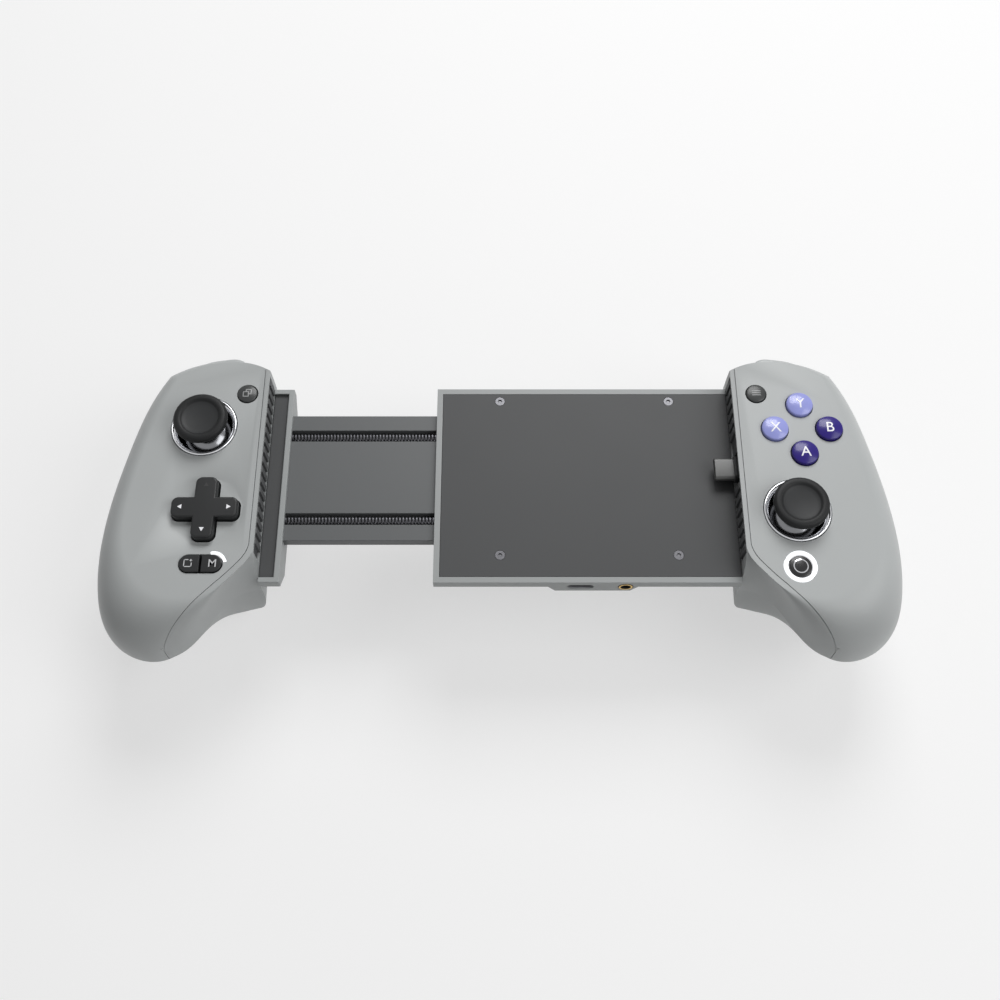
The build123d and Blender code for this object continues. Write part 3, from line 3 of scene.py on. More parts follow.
import json
import logging
from dataclasses import dataclass, field
from enum import Enum
from math import asin, cos, degrees, pi, radians, sin, sqrt
from typing import Any, Optional, Union

import bmesh
import bpy
from mathutils import Matrix, Vector

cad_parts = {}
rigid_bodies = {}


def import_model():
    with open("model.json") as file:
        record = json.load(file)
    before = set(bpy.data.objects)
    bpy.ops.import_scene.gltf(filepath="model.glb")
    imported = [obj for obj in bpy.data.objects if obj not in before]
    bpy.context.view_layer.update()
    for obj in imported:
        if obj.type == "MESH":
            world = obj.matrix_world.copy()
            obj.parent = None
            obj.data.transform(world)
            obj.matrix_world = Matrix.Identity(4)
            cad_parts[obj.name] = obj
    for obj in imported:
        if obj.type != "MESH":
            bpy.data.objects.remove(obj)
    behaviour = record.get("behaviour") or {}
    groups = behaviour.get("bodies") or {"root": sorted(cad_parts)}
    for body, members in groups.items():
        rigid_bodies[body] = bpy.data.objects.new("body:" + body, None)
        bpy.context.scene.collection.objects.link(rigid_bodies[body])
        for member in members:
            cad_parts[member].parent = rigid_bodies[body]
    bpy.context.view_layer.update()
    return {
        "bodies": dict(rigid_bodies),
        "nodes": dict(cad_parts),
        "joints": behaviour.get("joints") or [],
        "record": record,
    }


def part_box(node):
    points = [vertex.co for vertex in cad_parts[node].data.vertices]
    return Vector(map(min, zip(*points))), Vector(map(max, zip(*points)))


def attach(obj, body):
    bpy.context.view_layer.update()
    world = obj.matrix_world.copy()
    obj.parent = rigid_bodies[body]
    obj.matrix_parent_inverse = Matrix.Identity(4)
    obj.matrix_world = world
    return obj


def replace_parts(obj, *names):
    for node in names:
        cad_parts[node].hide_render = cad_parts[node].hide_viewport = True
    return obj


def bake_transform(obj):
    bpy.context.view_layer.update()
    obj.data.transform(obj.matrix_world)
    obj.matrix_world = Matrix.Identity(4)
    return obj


Colour = tuple[float, float, float]
Place = tuple[float, float]

LOG = logging.getLogger("controller")
MM = 0.001
# Flange and plunger of every round button, in millimetres
FLANGE_LAP = 0.7
FLANGE_THICKNESS = 1.1
PLUNGER_RADIUS = 2.4
BUTTON_EDGE = 0.35
BUTTON_FACETS = 72
# Turned pieces keep edges crisp above this angle
TURNED_SHARP = 40.0
# Contacts in each row of a connector
CONTACT_COUNT = 10
# Mesh work: vertices nearer than this, in metres, are one, and so are faces flatter than this, in degrees
WELD = 0.000002
FLAT_ANGLE = 0.4
# Moulded grain: features per metre, share of the colour's patches, and how much of the bump shows
GRAIN_SCALE = 5200.0
CLOUD_SCALE = 38.0
CLOUD_SHARE = 0.7
GRAIN_DEPTH = 0.00001
GRAIN_STRENGTH = 0.6
# Moulded roughness: how far it starts below its mean, and what patches and grain add
ROUGHNESS_DIP = 0.05
CLOUD_ROUGHNESS = 0.07
GRAIN_ROUGHNESS = 0.04


class Side(Enum):
    """The two grips."""

    LEFT = -1
    RIGHT = 1

    @property
    def word(self) -> str:
        """The side's name, as node and body names begin."""
        return self.name.lower()


def linear(colour: Colour) -> tuple[float, float, float, float]:
    """Turns a display colour into scene values.

    Args:
        colour: Red, green and blue from 0 to 255, as seen on a screen.

    Returns:
        Linear red, green, blue and a full alpha.
    """
    shares = [part / 255 for part in colour]
    return (*[part / 12.92 if part <= 0.04045 else ((part + 0.055) / 1.055) ** 2.4 for part in shares], 1.0)


class Shade:
    """A shader value that takes part in Python arithmetic."""

    def __init__(self, tree: bpy.types.NodeTree, socket: bpy.types.NodeSocket) -> None:
        """Keeps the node tree and the socket that carries the value."""
        self.tree = tree
        self.socket = socket

    def _math(self, operation: str, first: Any, second: Any = 0.0) -> "Shade":
        """Adds one Math node, whose operands are values or Shades."""
        node = self.tree.nodes.new("ShaderNodeMath")
        node.operation = operation
        for index, operand in enumerate((first, second)):
            if isinstance(operand, Shade):
                self.tree.links.new(operand.socket, node.inputs[index])
            else:
                node.inputs[index].default_value = operand
        return Shade(self.tree, node.outputs[0])

    def __add__(self, other: Any) -> "Shade":
        """Sum."""
        return self._math("ADD", self, other)

    def __radd__(self, other: Any) -> "Shade":
        """Sum with the value first."""
        return self._math("ADD", other, self)

    def __sub__(self, other: Any) -> "Shade":
        """Difference."""
        return self._math("SUBTRACT", self, other)

    def __rsub__(self, other: Any) -> "Shade":
        """Difference with the value first."""
        return self._math("SUBTRACT", other, self)

    def __mul__(self, other: Any) -> "Shade":
        """Product."""
        return self._math("MULTIPLY", self, other)

    def __gt__(self, other: Any) -> "Shade":
        """1 where this is the greater, else 0."""
        return self._math("GREATER_THAN", self, other)

    def __lt__(self, other: Any) -> "Shade":
        """1 where this is the lesser, else 0."""
        return self._math("LESS_THAN", self, other)

    def sine(self) -> "Shade":
        """Sine of the value."""
        return self._math("SINE", self)

    def size(self) -> "Shade":
        """The value without its sign."""
        return self._math("ABSOLUTE", self)

    def kept_within(self, low: float, high: float) -> "Shade":
        """The value, held between two limits."""
        return self._math("MINIMUM", self._math("MAXIMUM", self, low), high)

    def under(self, edge: float, fade: float) -> "Shade":
        """1 below an edge and 0 above it, with a step as steep as the fade."""
        return ((edge - self) * fade + 0.5).kept_within(0.0, 1.0)


class Bench:
    """Where one material's nodes are put together."""

    def __init__(self, name: str) -> None:
        """Starts an empty material with a name."""
        self.material = bpy.data.materials.new(name)
        self.material.use_nodes = True
        self.tree = self.material.node_tree
        self.tree.nodes.clear()

    def node(self, kind: str, settings: Optional[dict[str, Any]] = None,
             inputs: Optional[dict[Union[str, int], Any]] = None) -> bpy.types.Node:
        """Makes a node.

        Args:
            kind: The node's type.
            settings: Its properties, set first.
            inputs: Values or links of its sockets, by name or number.

        Returns:
            The node.
        """
        node = self.tree.nodes.new(kind)
        for key, value in (settings or {}).items():
            setattr(node, key, value)
        for key, value in (inputs or {}).items():
            socket = node.inputs[key]
            if isinstance(value, Shade):
                self.tree.links.new(value.socket, socket)
            elif isinstance(value, bpy.types.NodeSocket):
                self.tree.links.new(value, socket)
            else:
                socket.default_value = value
        return node

    def shade(self, node: bpy.types.Node, output: Union[str, int] = 0) -> Shade:
        """One output of a node, ready for arithmetic."""
        return Shade(self.tree, node.outputs[output])

    def coordinates(self, centre: Vector = Vector()) -> bpy.types.NodeSocket:
        """Object coordinates in metres, counted from a centre."""
        where = self.node("ShaderNodeTexCoord").outputs["Object"]
        if centre.length == 0:
            return where
        return self.node("ShaderNodeMapping", inputs={"Vector": where, "Location": -centre}).outputs[0]

    def noise(self, where: bpy.types.NodeSocket, scale: float, detail: float = 2.0) -> Shade:
        """Soft noise from 0 to 1, by its features per metre and its octaves."""
        return self.shade(self.node("ShaderNodeTexNoise", {"noise_dimensions": "3D"},
                                    {"Vector": where, "Scale": scale, "Detail": detail}), "Fac")

    def blend(self, share: Shade, low: tuple, high: tuple) -> bpy.types.NodeSocket:
        """Mixes two linear colours: the low one at share 0, the high one at share 1."""
        return self.node("ShaderNodeMix", {"data_type": "RGBA"}, {0: share, 6: low, 7: high}).outputs[2]

    def tones(self, colour: Colour, share: Shade, low: float, high: float) -> bpy.types.NodeSocket:
        """A display colour that runs between two gains of itself: low at share 0, high at share 1."""
        base = linear(colour)
        return self.blend(share, toned(base, low), toned(base, high))

    def mottled(self, colour: Colour, cloud: Shade, grain: Shade, spread: float) -> bpy.types.NodeSocket:
        """A colour with faint patches, whose tone strays by a spread to either side."""
        return self.tones(colour, cloud * CLOUD_SHARE + grain * (1 - CLOUD_SHARE), 1 - spread, 1 + spread)

    def bump(self, height: Shade, distance: float, strength: float = 0.5) -> bpy.types.NodeSocket:
        """A normal bumped by a height from 0 to 1, where 1 stands a distance in metres."""
        return self.node("ShaderNodeBump", inputs={"Height": height, "Distance": distance,
                                                   "Strength": strength}).outputs[0]

    def surface(self, **sockets: Any) -> bpy.types.Material:
        """Closes the material with a shader; underscores stand for the spaces in its sockets' names."""
        named = {key.replace("_", " "): value for key, value in sockets.items()}
        shader = self.node("ShaderNodeBsdfPrincipled", inputs=named)
        self.node("ShaderNodeOutputMaterial", inputs={"Surface": shader.outputs[0]})
        return self.material


def toned(colour: tuple, gain: float) -> tuple:
    """A linear colour made lighter or darker."""
    return (*[min(1.0, part * gain) for part in colour[:3]], 1.0)


def linked(name: str, data: bpy.types.ID) -> bpy.types.Object:
    """Makes an object from its data and puts it in the scene."""
    thing = bpy.data.objects.new(name, data)
    bpy.context.scene.collection.objects.link(thing)
    return thing


@dataclass(frozen=True)
class Finish:
    """What every finish has; each kind adds its own measures and its material."""

    name: str
    colour: Colour


@dataclass(frozen=True)
class MouldedPlastic(Finish):
    """Satin moulding with a fine spark-eroded grain and faint handling marks."""

    roughness: float = 0.42
    grain: float = GRAIN_DEPTH
    grain_scale: float = GRAIN_SCALE
    coat: float = 0.0
    mirror: float = 0.3
    coat_blur: float = 0.2
    spread: float = 0.045

    def material(self) -> bpy.types.Material:
        """Builds the material."""
        bench = Bench(self.name)
        where = bench.coordinates()
        grain = bench.noise(where, self.grain_scale, detail=1.0)
        cloud = bench.noise(where, CLOUD_SCALE, detail=3.0)
        roughness = (self.roughness - ROUGHNESS_DIP) + cloud * CLOUD_ROUGHNESS + grain * GRAIN_ROUGHNESS
        return bench.surface(Base_Color=bench.mottled(self.colour, cloud, grain, self.spread),
                             Roughness=roughness, Coat_Weight=self.coat, Coat_Roughness=self.coat_blur,
                             Specular_IOR_Level=self.mirror,
                             Normal=bench.bump(grain, self.grain, GRAIN_STRENGTH))


@dataclass(frozen=True)
class StickMoulding(Finish):
    """Thumb stick: soft black cap whose paler dish is painted light, over a smoked mirror skirt."""

    # Paler dish tone: painted light on the dished top of the cap
    dish: Colour
    skirt: Colour
    centre: Vector
    dish_radius: float = 0.0061
    dish_fade: float = 2400.0
    cap_height: float = 0.0138
    grain_scale: float = 3400.0
    cloud_scale: float = 260.0
    mirror: float = 0.22
    grain_depth: float = 0.00003
    # Shares of the dish's painted light: with the patches, even, and with the grain
    wear: tuple[float, float, float] = (0.3, 0.75, 0.12)
    roughness: tuple[float, float, float] = (0.12, 0.24, 0.18)

    def material(self) -> bpy.types.Material:
        """Builds the material."""
        bench = Bench(self.name)
        where = bench.coordinates(self.centre)
        parts = bench.node("ShaderNodeSeparateXYZ", inputs={0: where})
        height = bench.shade(parts, 2)
        level = bench.node("ShaderNodeVectorMath", {"operation": "MULTIPLY"}, {0: where, 1: (1.0, 1.0, 0.0)})
        length = bench.node("ShaderNodeVectorMath", {"operation": "LENGTH"}, {0: level.outputs[0]})
        reach = bench.shade(length, "Value")
        in_dish = reach.under(self.dish_radius, self.dish_fade)
        on_cap = height > self.cap_height
        grain = bench.noise(where, self.grain_scale)
        cloud = bench.noise(where, self.cloud_scale)
        rim, dish, skirt = linear(self.colour), linear(self.dish), linear(self.skirt)
        clouded, even, grained = self.wear
        # The dish is painted paler than the rim: painted light, with faint patches and grain
        rubber = bench.blend(in_dish * (cloud * clouded + even) + grain * grained, rim, dish)
        colour = bench.blend(on_cap, skirt, rubber)
        grained, on_rubber, base = self.roughness
        roughness = on_cap * (grain * grained + on_rubber) + base
        return bench.surface(Base_Color=colour, Metallic=1.0 - on_cap, Roughness=roughness,
                             Specular_IOR_Level=self.mirror,
                             Normal=bench.bump(grain * on_cap, self.grain_depth))


@dataclass(frozen=True)
class CombRubber(Finish):
    """Dark rubber whose teeth are dusty, and whose far part, beyond a reach across, is painted shade, near
    black.
    """

    # Near-black colour beyond the reach across: painted shade in the pocket the comb sits in
    gaps: Colour
    gap_reach: float
    gap_fade: float = 5000.0
    dust_scale: float = 1100.0
    cloud_scale: float = 140.0
    mirror: float = 0.2
    dust_depth: float = 0.00002
    dusting: tuple[float, float, float] = (0.35, 0.3, 0.65)
    roughness: Place = (0.5, 0.14)

    def material(self) -> bpy.types.Material:
        """Builds the material."""
        bench = Bench(self.name)
        where = bench.coordinates()
        across = bench.shade(bench.node("ShaderNodeSeparateXYZ", inputs={0: where}), 0)
        dust = bench.noise(where, self.dust_scale, detail=3.0)
        cloud = bench.noise(where, self.cloud_scale)
        # Painted shade: past the reach across, the teeth fade into the near-black shade colour
        on_teeth = across.size().under(self.gap_reach, self.gap_fade)
        dusted, clouded, even = self.dusting
        share = on_teeth * (dust * dusted + cloud * clouded + even)
        base, spread = self.roughness
        return bench.surface(Base_Color=bench.blend(share, linear(self.gaps), linear(self.colour)),
                             Roughness=base + dust * spread, Specular_IOR_Level=self.mirror,
                             Normal=bench.bump(dust, self.dust_depth))


@dataclass(frozen=True)
class TrayPlastic(Finish):
    """Satin moulding whose sunken floor is a darker, rougher tone: partly its own dark insert, partly painted
    shadow of the phone that is left out.
    """

    # Floor colour: the insert's own dark tone, darkened further as painted shadow of the phone
    floor: Colour
    low: tuple[float, float, float]
    high: tuple[float, float, float]
    spread: float = 0.05
    mirror: float = 0.3
    roughness: float = 0.38
    floor_roughness: float = 0.1

    def material(self) -> bpy.types.Material:
        """Builds the material."""
        bench = Bench(self.name)
        where = bench.coordinates()
        parts = bench.node("ShaderNodeSeparateXYZ", inputs={0: where})
        within = [(bench.shade(parts, axis) > self.low[axis]) * (bench.shade(parts, axis) < self.high[axis])
                  for axis in range(3)]
        # Inside the box is the sunken floor, which takes the darker colour with its painted shadow
        inside = within[0] * within[1] * within[2]
        grain = bench.noise(where, GRAIN_SCALE, detail=1.0)
        cloud = bench.noise(where, CLOUD_SCALE, detail=3.0)
        tones = [bench.mottled(colour, cloud, grain, self.spread) for colour in (self.colour, self.floor)]
        roughness = inside * self.floor_roughness + cloud * CLOUD_ROUGHNESS + self.roughness
        return bench.surface(Base_Color=bench.blend(inside, *tones), Roughness=roughness,
                             Specular_IOR_Level=self.mirror,
                             Normal=bench.bump(grain, GRAIN_DEPTH, GRAIN_STRENGTH))


@dataclass(frozen=True)
class GlossDome(Finish):
    """Glossy tinted button moulding under a hard clear coat."""

    shine: float
    deep: float = 0.86
    bright: float = 1.08
    cloud_scale: float = 160.0
    smear_scale: float = 520.0
    roughness: float = 0.3
    mirror: float = 0.2
    coat_blur: float = 0.17
    smear_roughness: float = 0.06
    smear_shine: float = 0.2

    def material(self) -> bpy.types.Material:
        """Builds the material."""
        bench = Bench(self.name)
        where = bench.coordinates()
        cloud = bench.noise(where, self.cloud_scale)
        smear = bench.noise(where, self.smear_scale, detail=3.0)
        colour = bench.tones(self.colour, cloud, self.deep, self.bright)
        return bench.surface(Base_Color=colour, Roughness=self.roughness + smear * self.smear_roughness,
                             Coat_Weight=self.shine + smear * self.smear_shine,
                             Coat_Roughness=self.coat_blur, Specular_IOR_Level=self.mirror)


@dataclass(frozen=True)
class BrightMetal(Finish):
    """Metal that runs from mirror polish to a fine brushed surface."""

    roughness: float = 0.12
    brushing: float = 0.08
    stretch: tuple[float, float, float] = (1.0, 1.0, 1.0)
    ripple: float = 0.5
    line_scale: float = 2400.0
    cloud_scale: float = 120.0
    line_depth: float = 0.000006
    gains: Place = (0.9, 1.06)

    def material(self) -> bpy.types.Material:
        """Builds the material."""
        bench = Bench(self.name)
        where = bench.node("ShaderNodeMapping", inputs={"Vector": bench.coordinates(),
                                                        "Scale": self.stretch}).outputs[0]
        lines = bench.noise(where, self.line_scale, detail=3.0)
        cloud = bench.noise(bench.coordinates(), self.cloud_scale)
        colour = bench.tones(self.colour, lines * 0.5 + cloud * 0.5, *self.gains)
        return bench.surface(Base_Color=colour, Metallic=1.0,
                             Roughness=self.roughness + lines * self.brushing,
                             Normal=bench.bump(lines, self.line_depth, self.ripple))


@dataclass(frozen=True)
class EvenTone(Finish):
    """Pad-printed ink or a milky light guide, slightly uneven. The light guide glows as its lamp lights it;
    the white ink's faint glow is painted light.
    """

    glow: float = 0.0
    speck_scale: float = 4200.0
    gains: Place = (0.93, 1.04)
    roughness: Place = (0.38, 0.12)

    def material(self) -> bpy.types.Material:
        """Builds the material."""
        bench = Bench(self.name)
        speck = bench.noise(bench.coordinates(), self.speck_scale)
        colour = bench.tones(self.colour, speck, *self.gains)
        base, spread = self.roughness
        return bench.surface(Base_Color=colour, Roughness=base + speck * spread, Emission_Color=colour,
                             Emission_Strength=self.glow)


@dataclass(frozen=True)
class CircuitBoard(Finish):
    """Solder resist with a faint pattern of tracks under it."""

    track_scale: float = 5200.0
    track_cut: float = 0.82
    row_scale: float = 90.0
    row_cut: float = -0.2
    sway_scale: float = 60.0
    sway_reach: float = 0.004
    speck_scale: float = 1500.0
    track_depth: float = 0.00003
    shares: Place = (0.7, 0.2)
    gains: Place = (1.0, 2.1)
    roughness: Place = (0.34, 0.1)

    def material(self) -> bpy.types.Material:
        """Builds the material."""
        bench = Bench(self.name)
        where = bench.coordinates()
        parts = bench.node("ShaderNodeSeparateXYZ", inputs={0: where})
        across, along = bench.shade(parts, 0), bench.shade(parts, 1)
        across = across + bench.noise(where, self.sway_scale, detail=0.0) * self.sway_reach
        on_track = (across * self.track_scale).sine() > self.track_cut
        tracks = on_track * ((along * self.row_scale).sine() > self.row_cut)
        speck = bench.noise(where, self.speck_scale)
        colour = bench.tones(self.colour, tracks * self.shares[0] + speck * self.shares[1], *self.gains)
        base, spread = self.roughness
        return bench.surface(Base_Color=colour, Roughness=base + speck * spread,
                             Normal=bench.bump(tracks, self.track_depth))


@dataclass
class Palette:
    """Every finish on the controller, made when first used."""

    made: dict[str, bpy.types.Material] = field(default_factory=dict)

    face = MouldedPlastic("face_satin", (177, 180, 180), 0.38)
    frame = MouldedPlastic("frame_satin", (174, 177, 177), 0.40)
    shell = MouldedPlastic("shell_satin", (172, 175, 175), 0.44, 0.00002, 2600.0)
    bumper = MouldedPlastic("bumper_satin", (178, 181, 181), 0.30, coat=0.15)
    trigger = MouldedPlastic("trigger_satin", (112, 114, 116), 0.34, coat=0.1)
    dark = MouldedPlastic("dark_satin", (44, 45, 46), 0.36)
    icon_button = MouldedPlastic("icon_button_satin", (54, 56, 56), 0.32, coat=0.2)
    capsule = MouldedPlastic("capsule_satin", (31, 32, 33), 0.30, coat=0.1)
    dpad = MouldedPlastic("cross_satin", (31, 32, 33), 0.38, coat=0.05)
    home = MouldedPlastic("home_satin", (24, 24, 26), 0.2, coat=0.3)
    housing = MouldedPlastic("bridge_satin", (158, 161, 161), 0.42)
    # Lid: its own dark tone, darkened further as painted shadow of the phone
    lid = MouldedPlastic("lid_satin", (70, 71, 72), 0.5, 0.00002, 2200.0)
    slider = MouldedPlastic("slider_satin", (96, 98, 99), 0.4)
    # Comb rubber: its own tone, and painted shade, near black, beyond the reach across
    pad = CombRubber("comb_rubber", (92, 93, 94), (12, 12, 12), 0.0813)
    violet = GlossDome("deep_violet_gloss", (30, 2, 118), shine=0.35)
    pale_violet = GlossDome("pale_violet_gloss", (150, 156, 222), shine=0.7)
    ring = BrightMetal("ring_polish", (212, 213, 216), 0.05, 0.02, ripple=0.1)
    steel = BrightMetal("steel_brushed", (150, 150, 154), 0.22, 0.16, (1.0, 8.0, 1.0))
    screw_steel = BrightMetal("screw_blackened", (92, 92, 95), 0.28, 0.14)
    plug_metal = MouldedPlastic("plug_smoked", (74, 75, 74), 0.3, mirror=0.5)
    spring_wire = BrightMetal("spring_wire", (92, 92, 96), 0.36, 0.12)
    gold = BrightMetal("contact_gold", (222, 186, 112), 0.16, 0.08)
    guide = EvenTone("light_guide", (247, 248, 250), 0.75, 300.0, (0.94, 1.0), (0.3, 0.08))
    # White ink: a faint glow that is painted light, with no lamp behind it
    ink = EvenTone("white_ink", (236, 236, 240), 0.12)
    grey_ink = EvenTone("grey_ink", (205, 206, 208))
    dim_ink = EvenTone("dim_ink", (158, 160, 160))
    dark_ink = EvenTone("dark_ink", (30, 30, 31))
    board = CircuitBoard("board_resist", (16, 62, 40))
    membrane = MouldedPlastic("membrane_silicone", (150, 150, 152), 0.5)

    def get(self, finish: Finish) -> bpy.types.Material:
        """The material of a finish, built once."""
        if finish.name not in self.made:
            self.made[finish.name] = finish.material()
        return self.made[finish.name]


@dataclass
class Workshop:
    """Shared tools: dressing CAD nodes and turning bmesh work into riding pieces."""

    frame: dict[str, Any]
    palette: Palette = field(default_factory=Palette)
    bodies: dict[str, str] = field(default_factory=dict)
    slots: dict[str, str] = field(default_factory=dict)

    def __post_init__(self) -> None:
        """Looks up which body and slot each node has."""
        record = self.frame["record"]
        for body, nodes in record["behaviour"]["bodies"].items():
            for node in nodes:
                self.bodies[node] = body
        for entry in record["subparts"]:
            self.slots[entry["node"]] = entry["material_slot"]

    def dress(self, node: str, finish: Finish) -> None:
        """Puts a finish in all slots of a CAD node."""
        thing = self.frame["nodes"][node]
        material = self.palette.get(finish)
        if not thing.material_slots:
            thing.data.materials.append(material)
        for place in thing.material_slots:
            place.material = material
        LOG.info("dressed %s in %s", node, finish.name)

    def piece(self, name: str, work: bmesh.types.BMesh, finish: Finish, node: str, smooth: bool = True,
              sharp: float = 35.0) -> bpy.types.Object:
        """Turns finished bmesh work into a piece that rides with a node's body.

        Args:
            name: The piece's name.
            work: The mesh, in metres, in the object's own frame.
            finish: Its finish.
            node: The CAD node whose body it shares.
            smooth: Whether faces shade smoothly.
            sharp: Angle in degrees above which an edge stays crisp.

        Returns:
            The piece.
        """
        for face in work.faces:
            face.smooth = smooth
        for edge in work.edges:
            edge.smooth = len(edge.link_faces) == 2 and edge.calc_face_angle(0.0) < radians(sharp)
        mesh = bpy.data.meshes.new(name)
        work.to_mesh(mesh)
        work.free()
        mesh.materials.append(self.palette.get(finish))
        thing = linked(name, mesh)
        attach(thing, self.bodies[node])
        LOG.info("made %s: %d faces", name, len(mesh.polygons))
        return thing

    def recast(self, node: str, finish: Finish, edge: float = 0.25, angle: float = 34.0,
               segments: int = 2) -> bpy.types.Object:
        """Copies a CAD node as a clean moulding with softly rounded edges, and shows that instead.

        Args:
            node: The CAD node.
            finish: The copy's finish.
            edge: Width of the rounding, in millimetres.
            angle: Edges sharper than this many degrees are rounded.
            segments: Faces across each rounding.

        Returns:
            The copy.
        """
        work = bmesh.new()
        work.from_mesh(self.frame["nodes"][node].data)
        bmesh.ops.remove_doubles(work, verts=work.verts[:], dist=WELD)
        bmesh.ops.dissolve_degenerate(work, edges=work.edges[:], dist=WELD / 2)
        bmesh.ops.dissolve_limit(work, verts=work.verts[:], edges=work.edges[:],
                                 angle_limit=radians(FLAT_ANGLE), use_dissolve_boundaries=False)
        thing = self.piece(node + "_moulding", work, finish, node, sharp=angle)
        rounding = thing.modifiers.new("edge_rounding", "BEVEL")
        rounding.width = edge * MM
        rounding.segments = segments
        rounding.limit_method = "ANGLE"
        rounding.angle_limit = radians(angle)
        rounding.harden_normals = True
        rounding.use_clamp_overlap = True
        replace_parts(thing, node)
        return thing

    def button(self, node: str, finish: Finish, radius: float, crown: float, skirt: float) -> None:
        """Turns a smooth domed button and shows it instead of a CAD node.

        Args:
            node: The button's node.
            finish: Its finish.
            radius: Radius of the dome, in millimetres.
            crown: Rise of the dome.
            skirt: Depth of the flange below the dome's middle.
        """
        low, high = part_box(node)
        middle = (low + high) / 2
        profile = button_profile(radius, crown, (high.z - low.z) / MM, skirt)
        work = turned(profile, Vector((middle.x, middle.y, low.z)), BUTTON_FACETS)
        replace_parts(self.piece(node + "_dome", work, finish, node, sharp=TURNED_SHARP), node)

    def contacts(self, node: str, centre: Vector, step: tuple, apart: float, size: tuple) -> None:
        """Lays two rows of gold contacts inside a connector.

        Args:
            node: The connector's node.
            centre: Middle of both rows, in metres.
            step: From one contact to the next, in millimetres.
            apart: Height of each row over or under the middle.
            size: One contact's three sizes.
        """
        work = bmesh.new()
        for row in (-1, 1):
            for index in range(CONTACT_COUNT):
                place = Vector(step) * (index - (CONTACT_COUNT - 1) / 2) + Vector((0, 0, row * apart))
                slab(work, centre + place * MM, size)
        self.piece(node + "_contacts", work, self.palette.gold, node, smooth=False)

    def middle(self, node: str) -> Vector:
        """Centre of a CAD node's box."""
        low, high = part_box(node)
        return (low + high) / 2

    def top(self, node: str) -> float:
        """Height of a CAD node's highest point."""
        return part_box(node)[1].z


def strip(work: bmesh.types.BMesh, centre: Vector, width: float, length: float) -> None:
    """Adds a flat rectangle: its middle is in metres, its width along X and length along Y in millimetres."""
    shape = Matrix.Translation(centre) @ Matrix.Diagonal((width * MM, length * MM, 1.0, 1.0))
    bmesh.ops.create_grid(work, x_segments=1, y_segments=1, size=0.5, matrix=shape)


def slab(work: bmesh.types.BMesh, centre: Vector, size: tuple[float, float, float]) -> None:
    """Adds a box: its middle is in metres, its three sizes are in millimetres."""
    shape = Matrix.Translation(centre) @ Matrix.Diagonal((*(Vector(size) * MM), 1.0))
    bmesh.ops.create_cube(work, size=1.0, matrix=shape)


def arc(centre: Place, radius: float, start: float, end: float, count: int) -> list[Place]:
    """Points along a circle in a turned profile.

    Args:
        centre: Radius and height of the circle's middle.
        radius: The circle's own radius.
        start: Angle of the first point in degrees, 0 pointing outward and 90 upward.
        end: Angle of the last point.
        count: How many points.

    Returns:
        The points, both ends among them.
    """
    angles = [radians(start + (end - start) * index / (count - 1)) for index in range(count)]
    return [(centre[0] + radius * cos(angle), centre[1] + radius * sin(angle)) for angle in angles]


def dome_ball(radius: float, crown: float) -> float:
    """Radius of the ball that a shallow dome is cut from."""
    return (radius ** 2 + crown ** 2) / (2 * crown)


def button_profile(radius: float, crown: float, height: float, skirt: float) -> list[Place]:
    """Half section of a domed button with its flange and plunger, from the dome's middle to the foot.

    Args:
        radius: Radius of the dome.
        crown: How much higher the dome's middle is than its rim.
        height: Height of the dome's middle over the foot.
        skirt: Depth of the flange's top below the dome's middle.

    Returns:
        The corners, in millimetres.
    """
    ball = dome_ball(radius, crown)
    tilt = asin((radius - BUTTON_EDGE) / ball)
    corner = BUTTON_EDGE / (1 - sin(tilt))
    rim = height - ball + (ball - corner) * cos(tilt)
    flange = radius + FLANGE_LAP
    flange_top = height - skirt
    flange_bottom = flange_top - FLANGE_THICKNESS
    return [*arc((0, height - ball), ball, 90, 90 - degrees(tilt), 10),
            *arc((radius - corner, rim), corner, 90 - degrees(tilt), 0, 8)[1:],
            (radius, flange_top), (flange, flange_top), (flange, flange_bottom),
            (PLUNGER_RADIUS, flange_bottom), (PLUNGER_RADIUS, 0), (0, 0)]


def turned(profile: list[Place], centre: Vector, steps: int = 64) -> bmesh.types.BMesh:
    """Turns a profile about the vertical.

    Args:
        profile: Radius and height of each corner, in millimetres. It closes on itself, unless it
            begins and ends on the axis.
        centre: A point on the axis, in metres; heights count from it.
        steps: Facets round the turn.

    Returns:
        The turned mesh.
    """
    work = bmesh.new()
    corners = [work.verts.new((centre.x + radius * MM, centre.y, centre.z + height * MM))
               for radius, height in profile]
    starts = corners if profile[0][0] > 0 else corners[:-1]
    edges = [work.edges.new((corner, corners[(index + 1) % len(corners)]))
             for index, corner in enumerate(starts)]
    bmesh.ops.spin(work, geom=corners + edges, cent=centre, axis=(0, 0, 1), angle=2 * pi, steps=steps,
                   use_merge=True, use_duplicate=False)
    bmesh.ops.remove_doubles(work, verts=work.verts[:], dist=WELD)
    bmesh.ops.recalc_face_normals(work, faces=work.faces[:])
    return work


